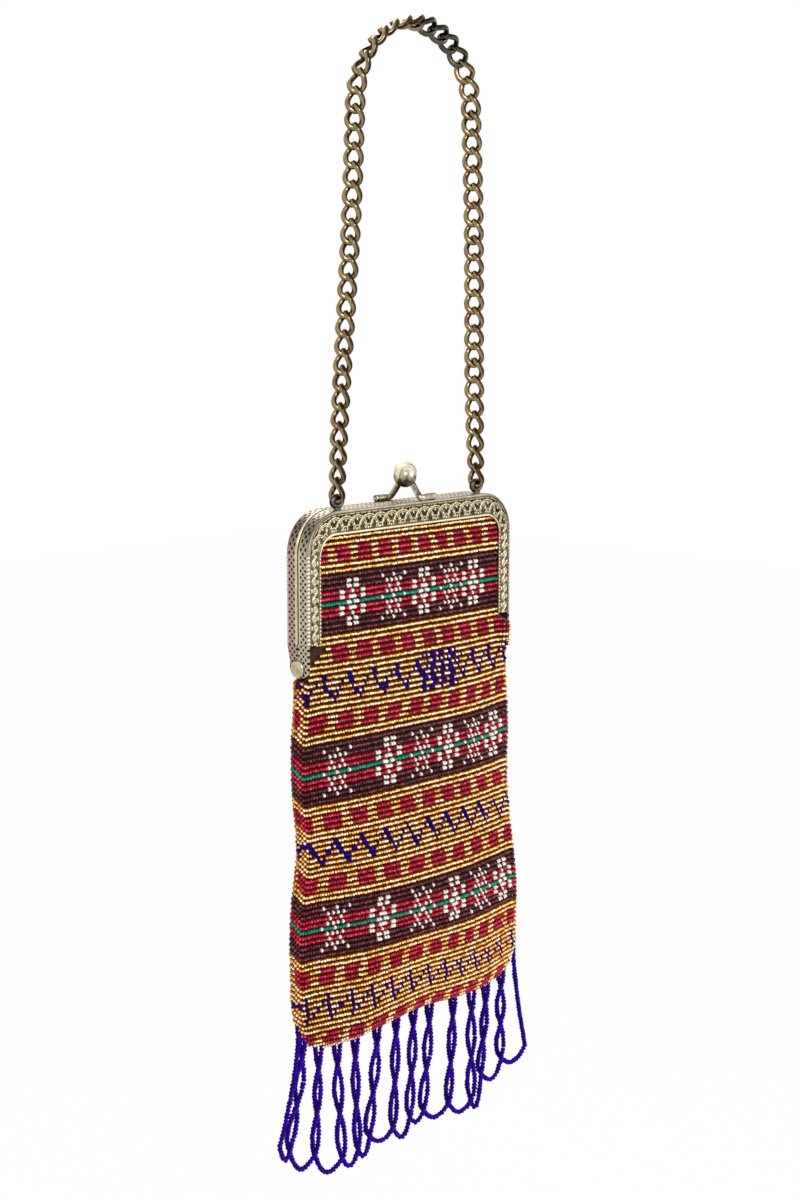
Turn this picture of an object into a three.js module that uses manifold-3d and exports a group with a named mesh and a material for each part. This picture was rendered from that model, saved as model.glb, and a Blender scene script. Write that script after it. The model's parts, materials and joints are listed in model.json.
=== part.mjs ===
// Beaded frame bag: a kiss-lock frame purse with a curb-chain handle and a looped bead fringe.
// Millimetres, +Z up, front towards -Y. The origin is the top of the handle, where a hand or hook holds it.
import * as THREE from 'three';
import { mergeVertices } from 'three/addons/utils/BufferGeometryUtils.js';
import Module from 'manifold-3d';

const wasm = await Module();
wasm.setup();

// General fits
const GAP = 0.3;
const RUNNING_FIT = 0.1;
const CUT_OVER = 1;
const ARC_STEPS = 6;

// Frame
const FRAME_WIDTH = 118;
const HALF_DEPTH = 6;
const PARTING = 0.4;
const SHEET = 0.9;
const TOP_BAND = 9.7;
const LEG_BAND = 7;
const CORNER_RADIUS = 16.5;
const WINDOW_RADIUS = 8;
const LEG_LENGTH = 51.4;
const INNER_LIP = 4.5;
const HINGE_DROP = 61;
const EAR_RADIUS = 3.6;
const EAR_LAP = 5;
const EAR_SIDES = 18;

// Hinge rivets
const RIVET_RADIUS = 1.1;
const RIVET_HEAD_RADIUS = 3.3;
const RIVET_HEAD_HEIGHT = 1.3;
const RIVET_CLINCH_RADIUS = 1.9;
const RIVET_CLINCH_HEIGHT = 0.6;
const RIVET_SIDES = 12;
const RIVET_DOME_STEPS = 3;

// Paper cord in the channel
const PAPER_CORD_RADIUS = 1.1;
const PAPER_CORD_SIDES = 6;

// Clasp
const BALL_RADIUS = 3.6;
const BALL_HEIGHT = 11.5;
const BALL_OVERHANG = 3.8;
const STEM_RADIUS = 1;
const STEM_FOOT_INNER = 3.4;
const STEM_FOOT_OUTER = 12.4;
const STEM_INSET = 1.3;
const STEM_SIDES = 8;
const STEM_STEPS = 10;
const STEM_BOW = 0.4;
const STEM_REACH = 0.9;
const SOCKET_REACH = 0.94;
const BALL_SIDES = 14;
const BALL_RINGS = 9;

// Chain handle
const HANDLE_DROP = 187;
const ARCH_RADIUS = 33;
const EYE_INSET = 18.5;
const EYE_PIVOT_HEIGHT = 5.2;
const EYE_WIRE_RADIUS = 0.75;
const EYE_HALF_WIDTH = 2.8;
const EYE_FOOT_RADIUS = 1.7;
const EYE_NECK_RADIUS = 1.2;
const EYE_FOOT_HEIGHT = 1;
const EYE_STEPS = 16;
const EYE_SIDES = 6;
const EYE_FOOT_SIDES = 10;
const LINK_WIRE_RADIUS = 1;
const LINK_WIDTH = 8.2;
const LINK_WELD = 0.5;
const LINK_TWIST = Math.PI / 4;
const LINK_STEPS = 8;
const LINK_SIDES = 4;
// How the hanging chain is rolled about its own line: shares of its length and degrees
const CHAIN_ROLL = [[0, -75], [0.11, -45], [0.28, 45], [0.39, 45], [0.61, 135], [0.9, 135], [1, 75]];
const CHAIN_RUNS = [
  ['chain_left_lower', 7],
  ['chain_left_middle', 7],
  ['chain_left_upper', 7],
  ['chain_arch_left', 5],
  ['chain_arch_top', 5],
  ['chain_arch_right', 5],
  ['chain_right_upper', 7],
  ['chain_right_middle', 7],
  ['chain_right_lower', 7],
];

// Beaded cloth and lining
const ROW_PITCH = 2.125;
const ROW_RIDGE = 0.9;
const ROW_CREST = 0.5;
const PANEL_THICKNESS = 2.4;
const LINING_THICKNESS = 0.6;
const PANEL_BELOW_HINGE = 0.6;
const POUCH_TOP_GAP = 0.6;
const BODY_HEIGHT = 213.5;
const POUCH_TOP_INSET = 1;
const POUCH_BELLY_OVERHANG = 2.4;
const POUCH_TOP_DEPTH = 12.6;
const POUCH_BELLY_DEPTH = 13.7;
const POUCH_BULGE = 2.4;
const BULGE_SPREAD = 20;
const BULGE_POWER = 2.2;
const BULGE_SHARES = [-0.6, 0, 0.6];
const POUCH_SPREAD = 38;
const POUCH_LEAN = 3.2;
const LEAN_BELOW_HINGE = 50;
const LEAN_SPREAD = 30;
const POUCH_SIDE_ROUND = 4;
const POUCH_CORNER_RADIUS = 14;
const POUCH_BOTTOM_ROUND = 10;
const BAND_SWELL = 0.9;
const BAND_ROWS = 30;
const FIRST_GREEN_ROW = 12.5;
const BOTTOM_SEAM = 0.6;
const LINING_TOP_DROP = 7;

// Fringe: each column's place along the seam, as a share of the pouch's half width, and how far its
// lower end strays sideways; then how far the loop between each two columns hangs below the pouch
const FRINGE_COLUMNS = [
  [-0.985, -10], [-0.91, -8.5], [-0.81, -2.2], [-0.645, 2.5], [-0.484, 1.2], [-0.288, -5], [-0.111, -1.7],
  [0.05, -2.2], [0.202, -3.9], [0.43, -2.6], [0.612, 0], [0.752, -3.2], [0.905, -0.2], [0.98, 8],
];
const LOOP_DROPS = [46.9, 53.6, 58.9, 59.7, 57.4, 53.7, 55.3, 51, 51.9, 53.4, 54.1, 43.7, 39.6];
const LOOP_RISE = 6;
const LOOP_SHARES = [0.15, 0.325, 0.5, 0.675, 0.85];
const STRAND_RADIUS = 0.95;
const STRAND_SIDES = 4;
const SEAM_SPREAD = 1.9;
const SEAM_MERGE = 8;
const TWIST_RADIUS = 1.3;
const TWIST_HALF_PITCH = 19;
const TWIST_STEPS = 4;
const STRAY_POWER = 1.5;

// Derived places, in the bag's own frame: z = 0 at the frame's top, y = 0 at the parting plane
const HALF_WIDTH = FRAME_WIDTH / 2;
const INNER_Y = PARTING / 2;
const FACE_Y = INNER_Y + HALF_DEPTH;
const PANEL_Y = FACE_Y - SHEET - GAP;
const PANEL_BACK_Y = PANEL_Y - PANEL_THICKNESS;
const EYE_Y = INNER_Y + HALF_DEPTH / 2;
const CORD_INSET = SHEET + GAP + PAPER_CORD_RADIUS;
const PANEL_INSET = CORD_INSET + PAPER_CORD_RADIUS + GAP;
const PANEL_BOTTOM = -HINGE_DROP - PANEL_BELOW_HINGE;
const POUCH_TOP = PANEL_BOTTOM - POUCH_TOP_GAP;
const POUCH_BOTTOM = -BODY_HEIGHT;
const POUCH_TOP_HALF = HALF_WIDTH - POUCH_TOP_INSET;
const POUCH_BELLY_HALF = HALF_WIDTH + POUCH_BELLY_OVERHANG;
const PANEL_SWEEP = Math.hypot(PANEL_Y, PANEL_BELOW_HINGE) + GAP + RUNNING_FIT;
const SECTION_STEPS = 4;
const SWEEP_SIDES = 32;

const metal = (color, roughness) => new THREE.MeshStandardMaterial({ color, roughness, metalness: 1 });
const soft = (color, roughness) => new THREE.MeshStandardMaterial({ color, roughness, metalness: 0 });
const frameBrass = metal(0xa59b78, 0.42);
const ballBrass = metal(0xd9cda6, 0.2);
const chainBrass = metal(0x7d6c3e, 0.38);
const eyeMetal = metal(0x3c3737, 0.4);
const goldBeads = soft(0xbe821e, 0.25);
const blueBeads = soft(0x3c00a0, 0.2);
const liningCloth = soft(0x5a3a26, 0.9);
const paperCord = soft(0xc8b48c, 0.95);

// A closed geometry as a solid that can be joined and cut.
function solid(geometry) {
  const bare = geometry.index ? geometry.toNonIndexed() : geometry.clone();
  for (const name of Object.keys(bare.attributes)) {
    if (name !== 'position') bare.deleteAttribute(name);
  }
  const merged = mergeVertices(bare, 1e-4);
  return new wasm.Manifold(new wasm.Mesh({
    numProp: 3,
    vertProperties: Float32Array.from(merged.attributes.position.array),
    triVerts: Uint32Array.from(merged.index.array),
  }));
}

function geometryOf(body) {
  const shape = body.getMesh();
  const geometry = new THREE.BufferGeometry();
  geometry.setAttribute('position', new THREE.BufferAttribute(Float32Array.from(shape.vertProperties), 3));
  geometry.setIndex(new THREE.BufferAttribute(Uint32Array.from(shape.triVerts), 1));
  geometry.computeVertexNormals();
  return geometry;
}

function addPart(group, name, geometry, material) {
  const mesh = new THREE.Mesh(geometry, material);
  mesh.name = name;
  group.add(mesh);
  return mesh;
}

const smooth = (t) => {
  const share = THREE.MathUtils.clamp(t, 0, 1);
  return share * share * (3 - 2 * share);
};

// An outline with rounded upper corners, in x and z.
function archShape(halfWidth, top, bottom, radius) {
  const shape = new THREE.Shape();
  shape.moveTo(-halfWidth, bottom);
  shape.lineTo(-halfWidth, top - radius);
  shape.absarc(-halfWidth + radius, top - radius, radius, Math.PI, Math.PI / 2, true);
  shape.lineTo(halfWidth - radius, top);
  shape.absarc(halfWidth - radius, top - radius, radius, Math.PI / 2, 0, true);
  shape.lineTo(halfWidth, bottom);
  shape.closePath();
  return shape;
}

// A slab of an x-z outline between two depths.
function slab(shape, yA, yB) {
  const depth = Math.abs(yB - yA);
  const geometry = new THREE.ExtrudeGeometry(shape, { depth, bevelEnabled: false, curveSegments: ARC_STEPS });
  geometry.rotateX(Math.PI / 2);
  geometry.translate(0, Math.max(yA, yB), 0);
  return geometry;
}

// A plate of a y-z outline between two widths.
function plate(shape, xA, xB) {
  const depth = Math.abs(xB - xA);
  const geometry = new THREE.ExtrudeGeometry(shape, { depth, bevelEnabled: false, curveSegments: ARC_STEPS });
  const axes = new THREE.Matrix4().makeBasis(
    new THREE.Vector3(0, 1, 0),
    new THREE.Vector3(0, 0, 1),
    new THREE.Vector3(1, 0, 0),
  );
  geometry.applyMatrix4(axes);
  geometry.translate(Math.min(xA, xB), 0, 0);
  return geometry;
}

// A round bar along X on the hinge axis.
function hingeBar(radius, xA, xB, sides) {
  const geometry = new THREE.CylinderGeometry(radius, radius, Math.abs(xB - xA), sides);
  geometry.rotateZ(Math.PI / 2);
  geometry.translate((xA + xB) / 2, 0, -HINGE_DROP);
  return geometry;
}

// An arch band: the frame's outline less the same outline moved inwards.
function archBand(sideBand, topBand, innerRadius) {
  const outer = archShape(HALF_WIDTH, 0, -LEG_LENGTH, CORNER_RADIUS);
  const inner = archShape(HALF_WIDTH - sideBand, -topBand, -LEG_LENGTH - CUT_OVER, innerRadius);
  return (yA, yB) => solid(slab(outer, yA, yB)).subtract(solid(slab(inner, yA - CUT_OVER, yB + CUT_OVER)));
}

// The ear's outline on one half: from the leg's end down to a round end at the rivet.
function earShape(side, top) {
  const shape = new THREE.Shape();
  shape.moveTo(side * FACE_Y, top);
  shape.lineTo(side * FACE_Y, -LEG_LENGTH);
  shape.lineTo(side * EAR_RADIUS, -HINGE_DROP);
  shape.lineTo(side * INNER_Y, -HINGE_DROP);
  shape.lineTo(side * INNER_Y, top);
  shape.closePath();
  return shape;
}

function frameShell(side) {
  const faceY = side * FACE_Y;
  const innerY = side * INNER_Y;
  const [low, high] = [Math.min(faceY, innerY), Math.max(faceY, innerY)];
  const face = archBand(LEG_BAND, TOP_BAND, WINDOW_RADIUS);
  const wall = archBand(SHEET, SHEET, CORNER_RADIUS - SHEET);
  const lip = archBand(INNER_LIP, INNER_LIP, CORNER_RADIUS - INNER_LIP);
  const faceInner = faceY - side * SHEET;
  const lipOuter = innerY + side * SHEET;
  return wall(low, high)
    .add(face(Math.min(faceY, faceInner), Math.max(faceY, faceInner)))
    .add(lip(Math.min(innerY, lipOuter), Math.max(innerY, lipOuter)));
}

const RIVET_HOLE = RIVET_RADIUS / Math.cos(Math.PI / RIVET_SIDES) + RUNNING_FIT;
const INNER_EAR_OUT = HALF_WIDTH - SHEET - GAP;
const INNER_EAR_IN = INNER_EAR_OUT - SHEET;

// The front half carries the outer ears.
function frontFrame() {
  let body = frameShell(-1);
  for (const x of [-1, 1]) {
    const [xA, xB] = [x * (HALF_WIDTH - SHEET), x * HALF_WIDTH];
    body = body
      .add(solid(plate(earShape(-1, -LEG_LENGTH + SHEET), xA, xB)))
      .add(solid(hingeBar(EAR_RADIUS, xA, xB, EAR_SIDES)))
      .subtract(solid(hingeBar(RIVET_HOLE, xA - CUT_OVER, xB + CUT_OVER, RIVET_SIDES)));
  }
  return geometryOf(body);
}

// The rear half's ears step in by one sheet, so they turn inside the front ones.
function rearFrame() {
  let body = frameShell(1);
  for (const x of [-1, 1]) {
    const outer = solid(plate(earShape(1, -LEG_LENGTH + SHEET), x * (HALF_WIDTH - SHEET), x * HALF_WIDTH))
      .subtract(solid(hingeBar(
        EAR_RADIUS + GAP, x * (HALF_WIDTH - 2 * SHEET), x * (HALF_WIDTH + SHEET), EAR_SIDES)));
    const lap = new THREE.Shape();
    lap.moveTo(FACE_Y - SHEET / 2, -LEG_LENGTH + EAR_LAP);
    lap.lineTo(FACE_Y - SHEET / 2, -LEG_LENGTH);
    lap.lineTo(INNER_Y, -LEG_LENGTH);
    lap.lineTo(INNER_Y, -LEG_LENGTH + EAR_LAP);
    lap.closePath();
    body = body
      .add(outer)
      .add(solid(plate(lap, x * INNER_EAR_IN, x * (HALF_WIDTH - SHEET / 2))))
      .add(solid(plate(earShape(1, -LEG_LENGTH + SHEET), x * INNER_EAR_IN, x * INNER_EAR_OUT)))
      .add(solid(hingeBar(EAR_RADIUS, x * INNER_EAR_IN, x * INNER_EAR_OUT, EAR_SIDES)))
      .subtract(solid(hingeBar(
        RIVET_HOLE, x * (INNER_EAR_IN - CUT_OVER), x * (INNER_EAR_OUT + GAP / 2), RIVET_SIDES)));
  }
  return geometryOf(body);
}

// A domed rivet along +X: head outside the front ear, clinched end inside the rear ear.
function hingeRivet() {
  const head = HALF_WIDTH + GAP;
  const clinch = INNER_EAR_IN - GAP;
  const profile = [
    [0, clinch - RIVET_CLINCH_HEIGHT],
    [RIVET_CLINCH_RADIUS, clinch - RIVET_CLINCH_HEIGHT],
    [RIVET_CLINCH_RADIUS, clinch],
    [RIVET_RADIUS, clinch],
    [RIVET_RADIUS, head],
  ];
  for (let i = 0; i < RIVET_DOME_STEPS; i += 1) {
    const turn = (i * Math.PI) / (2 * RIVET_DOME_STEPS);
    profile.push([RIVET_HEAD_RADIUS * Math.cos(turn), head + RIVET_HEAD_HEIGHT * Math.sin(turn)]);
  }
  profile.push([0, head + RIVET_HEAD_HEIGHT]);
  const geometry = new THREE.LatheGeometry(profile.map(([r, h]) => new THREE.Vector2(r, h)), RIVET_SIDES);
  geometry.rotateZ(-Math.PI / 2);
  return geometryOf(solid(geometry));
}

// A round bar of a few sides along a smooth curve through points.
function bar(points, radius, sides, steps) {
  const path = new THREE.CatmullRomCurve3(points, false, 'centripetal');
  const section = new THREE.Shape();
  for (let i = 0; i < sides; i += 1) {
    const turn = (2 * Math.PI * i) / sides;
    const [x, y] = [radius * Math.cos(turn), radius * Math.sin(turn)];
    if (i === 0) section.moveTo(x, y);
    else section.lineTo(x, y);
  }
  section.closePath();
  return new THREE.ExtrudeGeometry(section, { steps, extrudePath: path, bevelEnabled: false });
}

// The front half's clasp stem: a foot along the top edge at the right, rising across to the rear side.
function stemPoints(reach) {
  const footY = -(FACE_Y - STEM_INSET);
  const footZ = STEM_RADIUS + GAP;
  const ballX = BALL_RADIUS + GAP / 2;
  const ball = new THREE.Vector3(ballX, BALL_OVERHANG, BALL_HEIGHT);
  const elbow = new THREE.Vector3(STEM_FOOT_INNER, footY, footZ);
  const points = [
    new THREE.Vector3(STEM_FOOT_OUTER, footY, footZ),
    new THREE.Vector3((STEM_FOOT_OUTER + STEM_FOOT_INNER) / 2, footY, footZ),
    new THREE.Vector3(STEM_FOOT_INNER, footY, footZ),
  ];
  for (const share of [reach / 3, (2 * reach) / 3, reach]) {
    const lift = THREE.MathUtils.lerp(share, smooth(share), STEM_BOW);
    points.push(elbow.clone().lerp(ball, share).setZ(footZ + (BALL_HEIGHT - footZ) * lift));
  }
  return points;
}

function claspStem() {
  return bar(stemPoints(STEM_REACH), STEM_RADIUS, STEM_SIDES, STEM_STEPS);
}

function claspBall() {
  const ball = new THREE.SphereGeometry(BALL_RADIUS, BALL_SIDES, BALL_RINGS);
  ball.translate(BALL_RADIUS + GAP / 2, BALL_OVERHANG, BALL_HEIGHT);
  const socket = bar(stemPoints(SOCKET_REACH), STEM_RADIUS + RUNNING_FIT, STEM_SIDES, STEM_STEPS);
  return geometryOf(solid(ball).subtract(solid(socket)));
}

// A closed solid through sections, each counter-clockwise seen from the next.
// A ring joins its last section to its first.
function loft(sections, ring = false) {
  const count = sections[0].length;
  const faces = [];
  for (let i = 0; i < sections.length - (ring ? 0 : 1); i += 1) {
    const [here, next] = [i * count, ((i + 1) % sections.length) * count];
    for (let j = 0; j < count; j += 1) {
      const k = (j + 1) % count;
      faces.push(here + j, here + k, next + j, here + k, next + k, next + j);
    }
  }
  const last = (sections.length - 1) * count;
  for (let j = 1; j < count - 1 && !ring; j += 1) {
    faces.push(0, j + 1, j, last, last + j, last + j + 1);
  }
  const corners = sections.flat().flatMap((point) => point.toArray());
  const geometry = new THREE.BufferGeometry();
  geometry.setAttribute('position', new THREE.Float32BufferAttribute(corners, 3));
  geometry.setIndex(faces);
  return solid(geometry);
}

// A round section of wire, counter-clockwise seen along the wire.
function wireSection(middle, along, outward, radius, sides) {
  const side = outward.clone().projectOnPlane(along).normalize();
  const up = along.clone().cross(side);
  return Array.from({ length: sides }, (_, j) => {
    const roll = (2 * Math.PI * j) / sides;
    return middle.clone()
      .addScaledVector(side, radius * Math.cos(roll))
      .addScaledVector(up, radius * Math.sin(roll));
  });
}

// A closed ring of wire around a centre line given by an angle.
function wireRing(centre, outward, radius, steps, sides) {
  const small = 1e-3;
  const sections = Array.from({ length: steps }, (_, i) => {
    const turn = (2 * Math.PI * i) / steps;
    const along = centre(turn + small).sub(centre(turn - small)).normalize();
    return wireSection(centre(turn), along, outward(turn), radius, sides);
  });
  return loft(sections, true);
}

// An eye on the front half's top: an upright oval ring of wire on a small round foot.
function chainEye() {
  const low = GAP + EYE_FOOT_HEIGHT;
  const halfHeight = (EYE_PIVOT_HEIGHT - low) / 2;
  const centre = (turn) => new THREE.Vector3(
    EYE_HALF_WIDTH * Math.cos(turn), 0, low + halfHeight + halfHeight * Math.sin(turn));
  const outward = (turn) => new THREE.Vector3(Math.cos(turn), 0, Math.sin(turn));
  const foot = new THREE.CylinderGeometry(EYE_NECK_RADIUS, EYE_FOOT_RADIUS, EYE_FOOT_HEIGHT, EYE_FOOT_SIDES);
  foot.rotateX(Math.PI / 2);
  foot.translate(0, 0, GAP + EYE_FOOT_HEIGHT / 2);
  return geometryOf(wireRing(centre, outward, EYE_WIRE_RADIUS, EYE_STEPS, EYE_SIDES).add(solid(foot)));
}

// The handle's centre line, in the plane of the eyes: two straight strands and an arch.
const EYE_X = HALF_WIDTH - EYE_INSET;
const PIVOT_Z = -HANDLE_DROP + EYE_PIVOT_HEIGHT;
const ARCH_Z = -ARCH_RADIUS;

function handlePath() {
  const rise = ARCH_Z - PIVOT_Z;
  const reach = Math.hypot(EYE_X, rise);
  const tangent = Math.acos(ARCH_RADIUS / reach) + Math.atan2(-rise, EYE_X);
  const touch = [ARCH_RADIUS * Math.cos(tangent), ARCH_Z + ARCH_RADIUS * Math.sin(tangent)];
  const straight = Math.hypot(EYE_X - touch[0], touch[1] - PIVOT_Z);
  const arc = ARCH_RADIUS * (Math.PI - 2 * tangent);
  const length = 2 * straight + arc;
  const leftAlong = [(EYE_X - touch[0]) / straight, (touch[1] - PIVOT_Z) / straight];
  const at = (s) => {
    if (s < straight) {
      const place = new THREE.Vector3(-EYE_X + leftAlong[0] * s, 0, PIVOT_Z + leftAlong[1] * s);
      return { place, along: new THREE.Vector3(leftAlong[0], 0, leftAlong[1]) };
    }
    if (s < straight + arc) {
      const turn = Math.PI - tangent - (s - straight) / ARCH_RADIUS;
      const place = new THREE.Vector3(ARCH_RADIUS * Math.cos(turn), 0, ARCH_Z + ARCH_RADIUS * Math.sin(turn));
      return { place, along: new THREE.Vector3(Math.sin(turn), 0, -Math.cos(turn)) };
    }
    const left = length - s;
    const place = new THREE.Vector3(EYE_X - leftAlong[0] * left, 0, PIVOT_Z + leftAlong[1] * left);
    return { place, along: new THREE.Vector3(leftAlong[0], 0, -leftAlong[1]) };
  };
  return { at, length };
}

const handle = handlePath();
const LINK_COUNT = CHAIN_RUNS.reduce((sum, [, links]) => sum + links, 0);
const RUN_SLACK = LINK_WELD + GAP;
const EYE_HANG = EYE_WIRE_RADIUS + LINK_WIRE_RADIUS + GAP;
const LINK_PITCH = (handle.length - 2 * LINK_WIRE_RADIUS + LINK_WELD + 2 * EYE_HANG
  + (CHAIN_RUNS.length - 1) * RUN_SLACK) / LINK_COUNT;
const LINK_HALF_LENGTH = (LINK_PITCH + 2 * LINK_WIRE_RADIUS - LINK_WELD) / 2;
const LINK_HALF_WIDTH = LINK_WIDTH / 2 - LINK_WIRE_RADIUS;

// The chain's roll at a share of its length, on straight lines between the given rolls.
function chainRoll(share) {
  const next = Math.max(CHAIN_ROLL.findIndex(([end]) => end >= share), 1);
  const [[low, from], [high, to]] = CHAIN_ROLL.slice(next - 1, next + 1);
  return THREE.MathUtils.degToRad(THREE.MathUtils.mapLinear(share, low, high, from, to));
}

// One curb link at a distance along the handle: an oval of wire twisted a quarter turn from end to end.
function chainLink(distance) {
  const { place, along } = handle.at(distance);
  const across = new THREE.Vector3(0, 1, 0);
  const outward = along.clone().cross(across);
  const roll = chainRoll(distance / handle.length);
  const wide = (turn) => {
    const angle = roll + LINK_TWIST * Math.sin(turn);
    return outward.clone().multiplyScalar(Math.cos(angle)).addScaledVector(across, Math.sin(angle));
  };
  const centre = (turn) => place.clone()
    .addScaledVector(along, LINK_HALF_LENGTH * Math.sin(turn))
    .addScaledVector(wide(turn), LINK_HALF_WIDTH * Math.cos(turn));
  const away = (turn) => along.clone()
    .multiplyScalar(Math.sin(turn))
    .addScaledVector(wide(turn), Math.cos(turn));
  return wireRing(centre, away, LINK_WIRE_RADIUS, LINK_STEPS, LINK_SIDES);
}

function addChain(group) {
  let distance = LINK_HALF_LENGTH - EYE_HANG;
  for (const [name, links] of CHAIN_RUNS) {
    let run = null;
    for (let i = 0; i < links; i += 1) {
      const link = chainLink(distance);
      run = run ? run.add(link) : link;
      distance += LINK_PITCH;
    }
    distance -= RUN_SLACK;
    addPart(group, name, geometryOf(run), chainBrass);
  }
}

// The beaded panel in the front window: one ridge to a row of beads on a flat cloth.
function windowPanel() {
  const top = -PANEL_INSET;
  const profile = new THREE.Shape();
  profile.moveTo(-PANEL_BACK_Y, top);
  profile.lineTo(-(PANEL_Y - ROW_RIDGE), top);
  const hidden = Math.floor((TOP_BAND - PANEL_INSET) / ROW_PITCH);
  for (let row = -hidden; -TOP_BAND - (row + 1) * ROW_PITCH > PANEL_BOTTOM; row += 1) {
    const start = -TOP_BAND - row * ROW_PITCH;
    profile.lineTo(-PANEL_Y, start - ROW_PITCH / 2);
    profile.lineTo(-(PANEL_Y - ROW_RIDGE), start - ROW_PITCH);
  }
  profile.lineTo(-PANEL_Y, PANEL_BOTTOM);
  profile.lineTo(-PANEL_BACK_Y, PANEL_BOTTOM);
  profile.closePath();
  const halfWidth = HALF_WIDTH - PANEL_INSET;
  const outline = archShape(halfWidth, top, PANEL_BOTTOM, CORNER_RADIUS - PANEL_INSET);
  return geometryOf(solid(plate(profile, -halfWidth - CUT_OVER, halfWidth + CUT_OVER))
    .intersect(solid(slab(outline, -FACE_Y, 0))));
}

function windowLining() {
  const halfWidth = HALF_WIDTH - PANEL_INSET;
  const outline = archShape(halfWidth, -PANEL_INSET, PANEL_BOTTOM, CORNER_RADIUS - PANEL_INSET);
  const front = -(PANEL_BACK_Y - GAP);
  return slab(outline, front, front + LINING_THICKNESS);
}

// The paper cord in the front channel, along the wall from leg to leg.
function channelCord() {
  const side = HALF_WIDTH - CORD_INSET;
  const radius = CORNER_RADIUS - CORD_INSET;
  const low = -LEG_LENGTH + EAR_LAP + GAP;
  const left = [[-side, low]];
  for (let i = 0; i <= ARC_STEPS; i += 1) {
    const turn = Math.PI - (i * Math.PI) / (2 * ARC_STEPS);
    left.push([-side + radius + radius * Math.cos(turn), -CORD_INSET - radius + radius * Math.sin(turn)]);
  }
  const right = left.map(([x, z]) => [-x, z]).reverse();
  const points = [...left, ...right].map(([x, z]) => new THREE.Vector3(x, -EYE_Y, z));
  const across = new THREE.Vector3(0, 1, 0);
  const sections = points.map((point, i) => {
    const [before, after] = [points[Math.max(i - 1, 0)], points[Math.min(i + 1, points.length - 1)]];
    const along = after.clone().sub(before).normalize();
    return wireSection(point, along, across, PAPER_CORD_RADIUS, PAPER_CORD_SIDES);
  });
  return geometryOf(loft(sections));
}

// The pouch's half width, its half depth at the sides and its bulge between them, at a height.
// The width swells at each broad band of beads.
function pouchSize(z) {
  const spread = smooth((-HINGE_DROP - z) / POUCH_SPREAD);
  const height = Math.max(z - POUCH_BOTTOM, 0);
  const greenZ = -TOP_BAND - (FIRST_GREEN_ROW + BAND_ROWS) * ROW_PITCH;
  const wave = Math.cos((2 * Math.PI * (z - greenZ)) / (BAND_ROWS * ROW_PITCH));
  let width = THREE.MathUtils.lerp(POUCH_TOP_HALF, POUCH_BELLY_HALF, spread) + spread * BAND_SWELL * wave;
  let depth = THREE.MathUtils.lerp(POUCH_TOP_DEPTH, POUCH_BELLY_DEPTH, spread) / 2;
  let bulge = POUCH_BULGE * smooth((-HINGE_DROP - z) / BULGE_SPREAD);
  if (height < POUCH_CORNER_RADIUS) {
    width -= POUCH_CORNER_RADIUS - Math.sqrt(POUCH_CORNER_RADIUS ** 2 - (POUCH_CORNER_RADIUS - height) ** 2);
  }
  if (height < POUCH_BOTTOM_ROUND) {
    const shut = Math.sqrt(1 - (1 - height / POUCH_BOTTOM_ROUND) ** 2);
    depth *= shut;
    bulge *= shut;
  }
  return { width, depth, bulge };
}

// A point of the front wall where it hangs, or turned round to the back: the pouch leans to the right.
const pouchLean = (z) => POUCH_LEAN * smooth((-HINGE_DROP - LEAN_BELOW_HINGE - z) / LEAN_SPREAD);
const hung = (side) => (p) => new THREE.Vector3(side * p.x + pouchLean(p.z), side * p.y, p.z);

// The front half of the pouch's section at a height, moved out or in by grow.
function frontSection(z, grow, backY) {
  const { width, depth, bulge } = pouchSize(z);
  const flat = width - POUCH_SIDE_ROUND;
  const points = [];
  for (let i = 0; i < 3; i += 1) {
    const turn = (i * Math.PI) / 4;
    const x = flat + (POUCH_SIDE_ROUND + grow) * Math.cos(turn);
    const y = i === 0 ? backY : -(depth + grow) * Math.sin(turn);
    points.push(new THREE.Vector3(x, y, z));
  }
  const left = points.map((p) => new THREE.Vector3(-p.x, p.y, p.z));
  const middle = BULGE_SHARES.map((share) => new THREE.Vector3(
    share * flat, -(depth + grow + bulge * (1 - Math.abs(share) ** BULGE_POWER)), z));
  return [...left, ...middle, ...points.reverse()];
}

// Heights spread evenly, with one at each end.
function heights(low, high, steps) {
  return Array.from({ length: steps + 1 }, (_, i) => THREE.MathUtils.lerp(low, high, i / steps));
}

// A plain full section of the pouch, front and back, for the hollow and the lining.
function fullSection(z, grow) {
  const front = frontSection(z, grow, 0);
  const back = front.slice(1, -1).map((p) => new THREE.Vector3(-p.x, -p.y, p.z));
  return [...front, ...back];
}

function plainPouch(lift, top, grow) {
  const low = POUCH_BOTTOM + PANEL_THICKNESS;
  const bend = POUCH_BOTTOM + POUCH_CORNER_RADIUS;
  const levels = [
    ...heights(low, bend, SECTION_STEPS).slice(0, -1),
    ...heights(bend, POUCH_TOP + POUCH_TOP_GAP, 2 * SECTION_STEPS),
  ];
  const kept = [...levels.filter((z) => z < top - GAP), top];
  const sections = kept.map((z) => fullSection(z, grow).map(hung(1)));
  for (const corner of sections[0]) corner.z += lift;
  return loft(sections);
}

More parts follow.
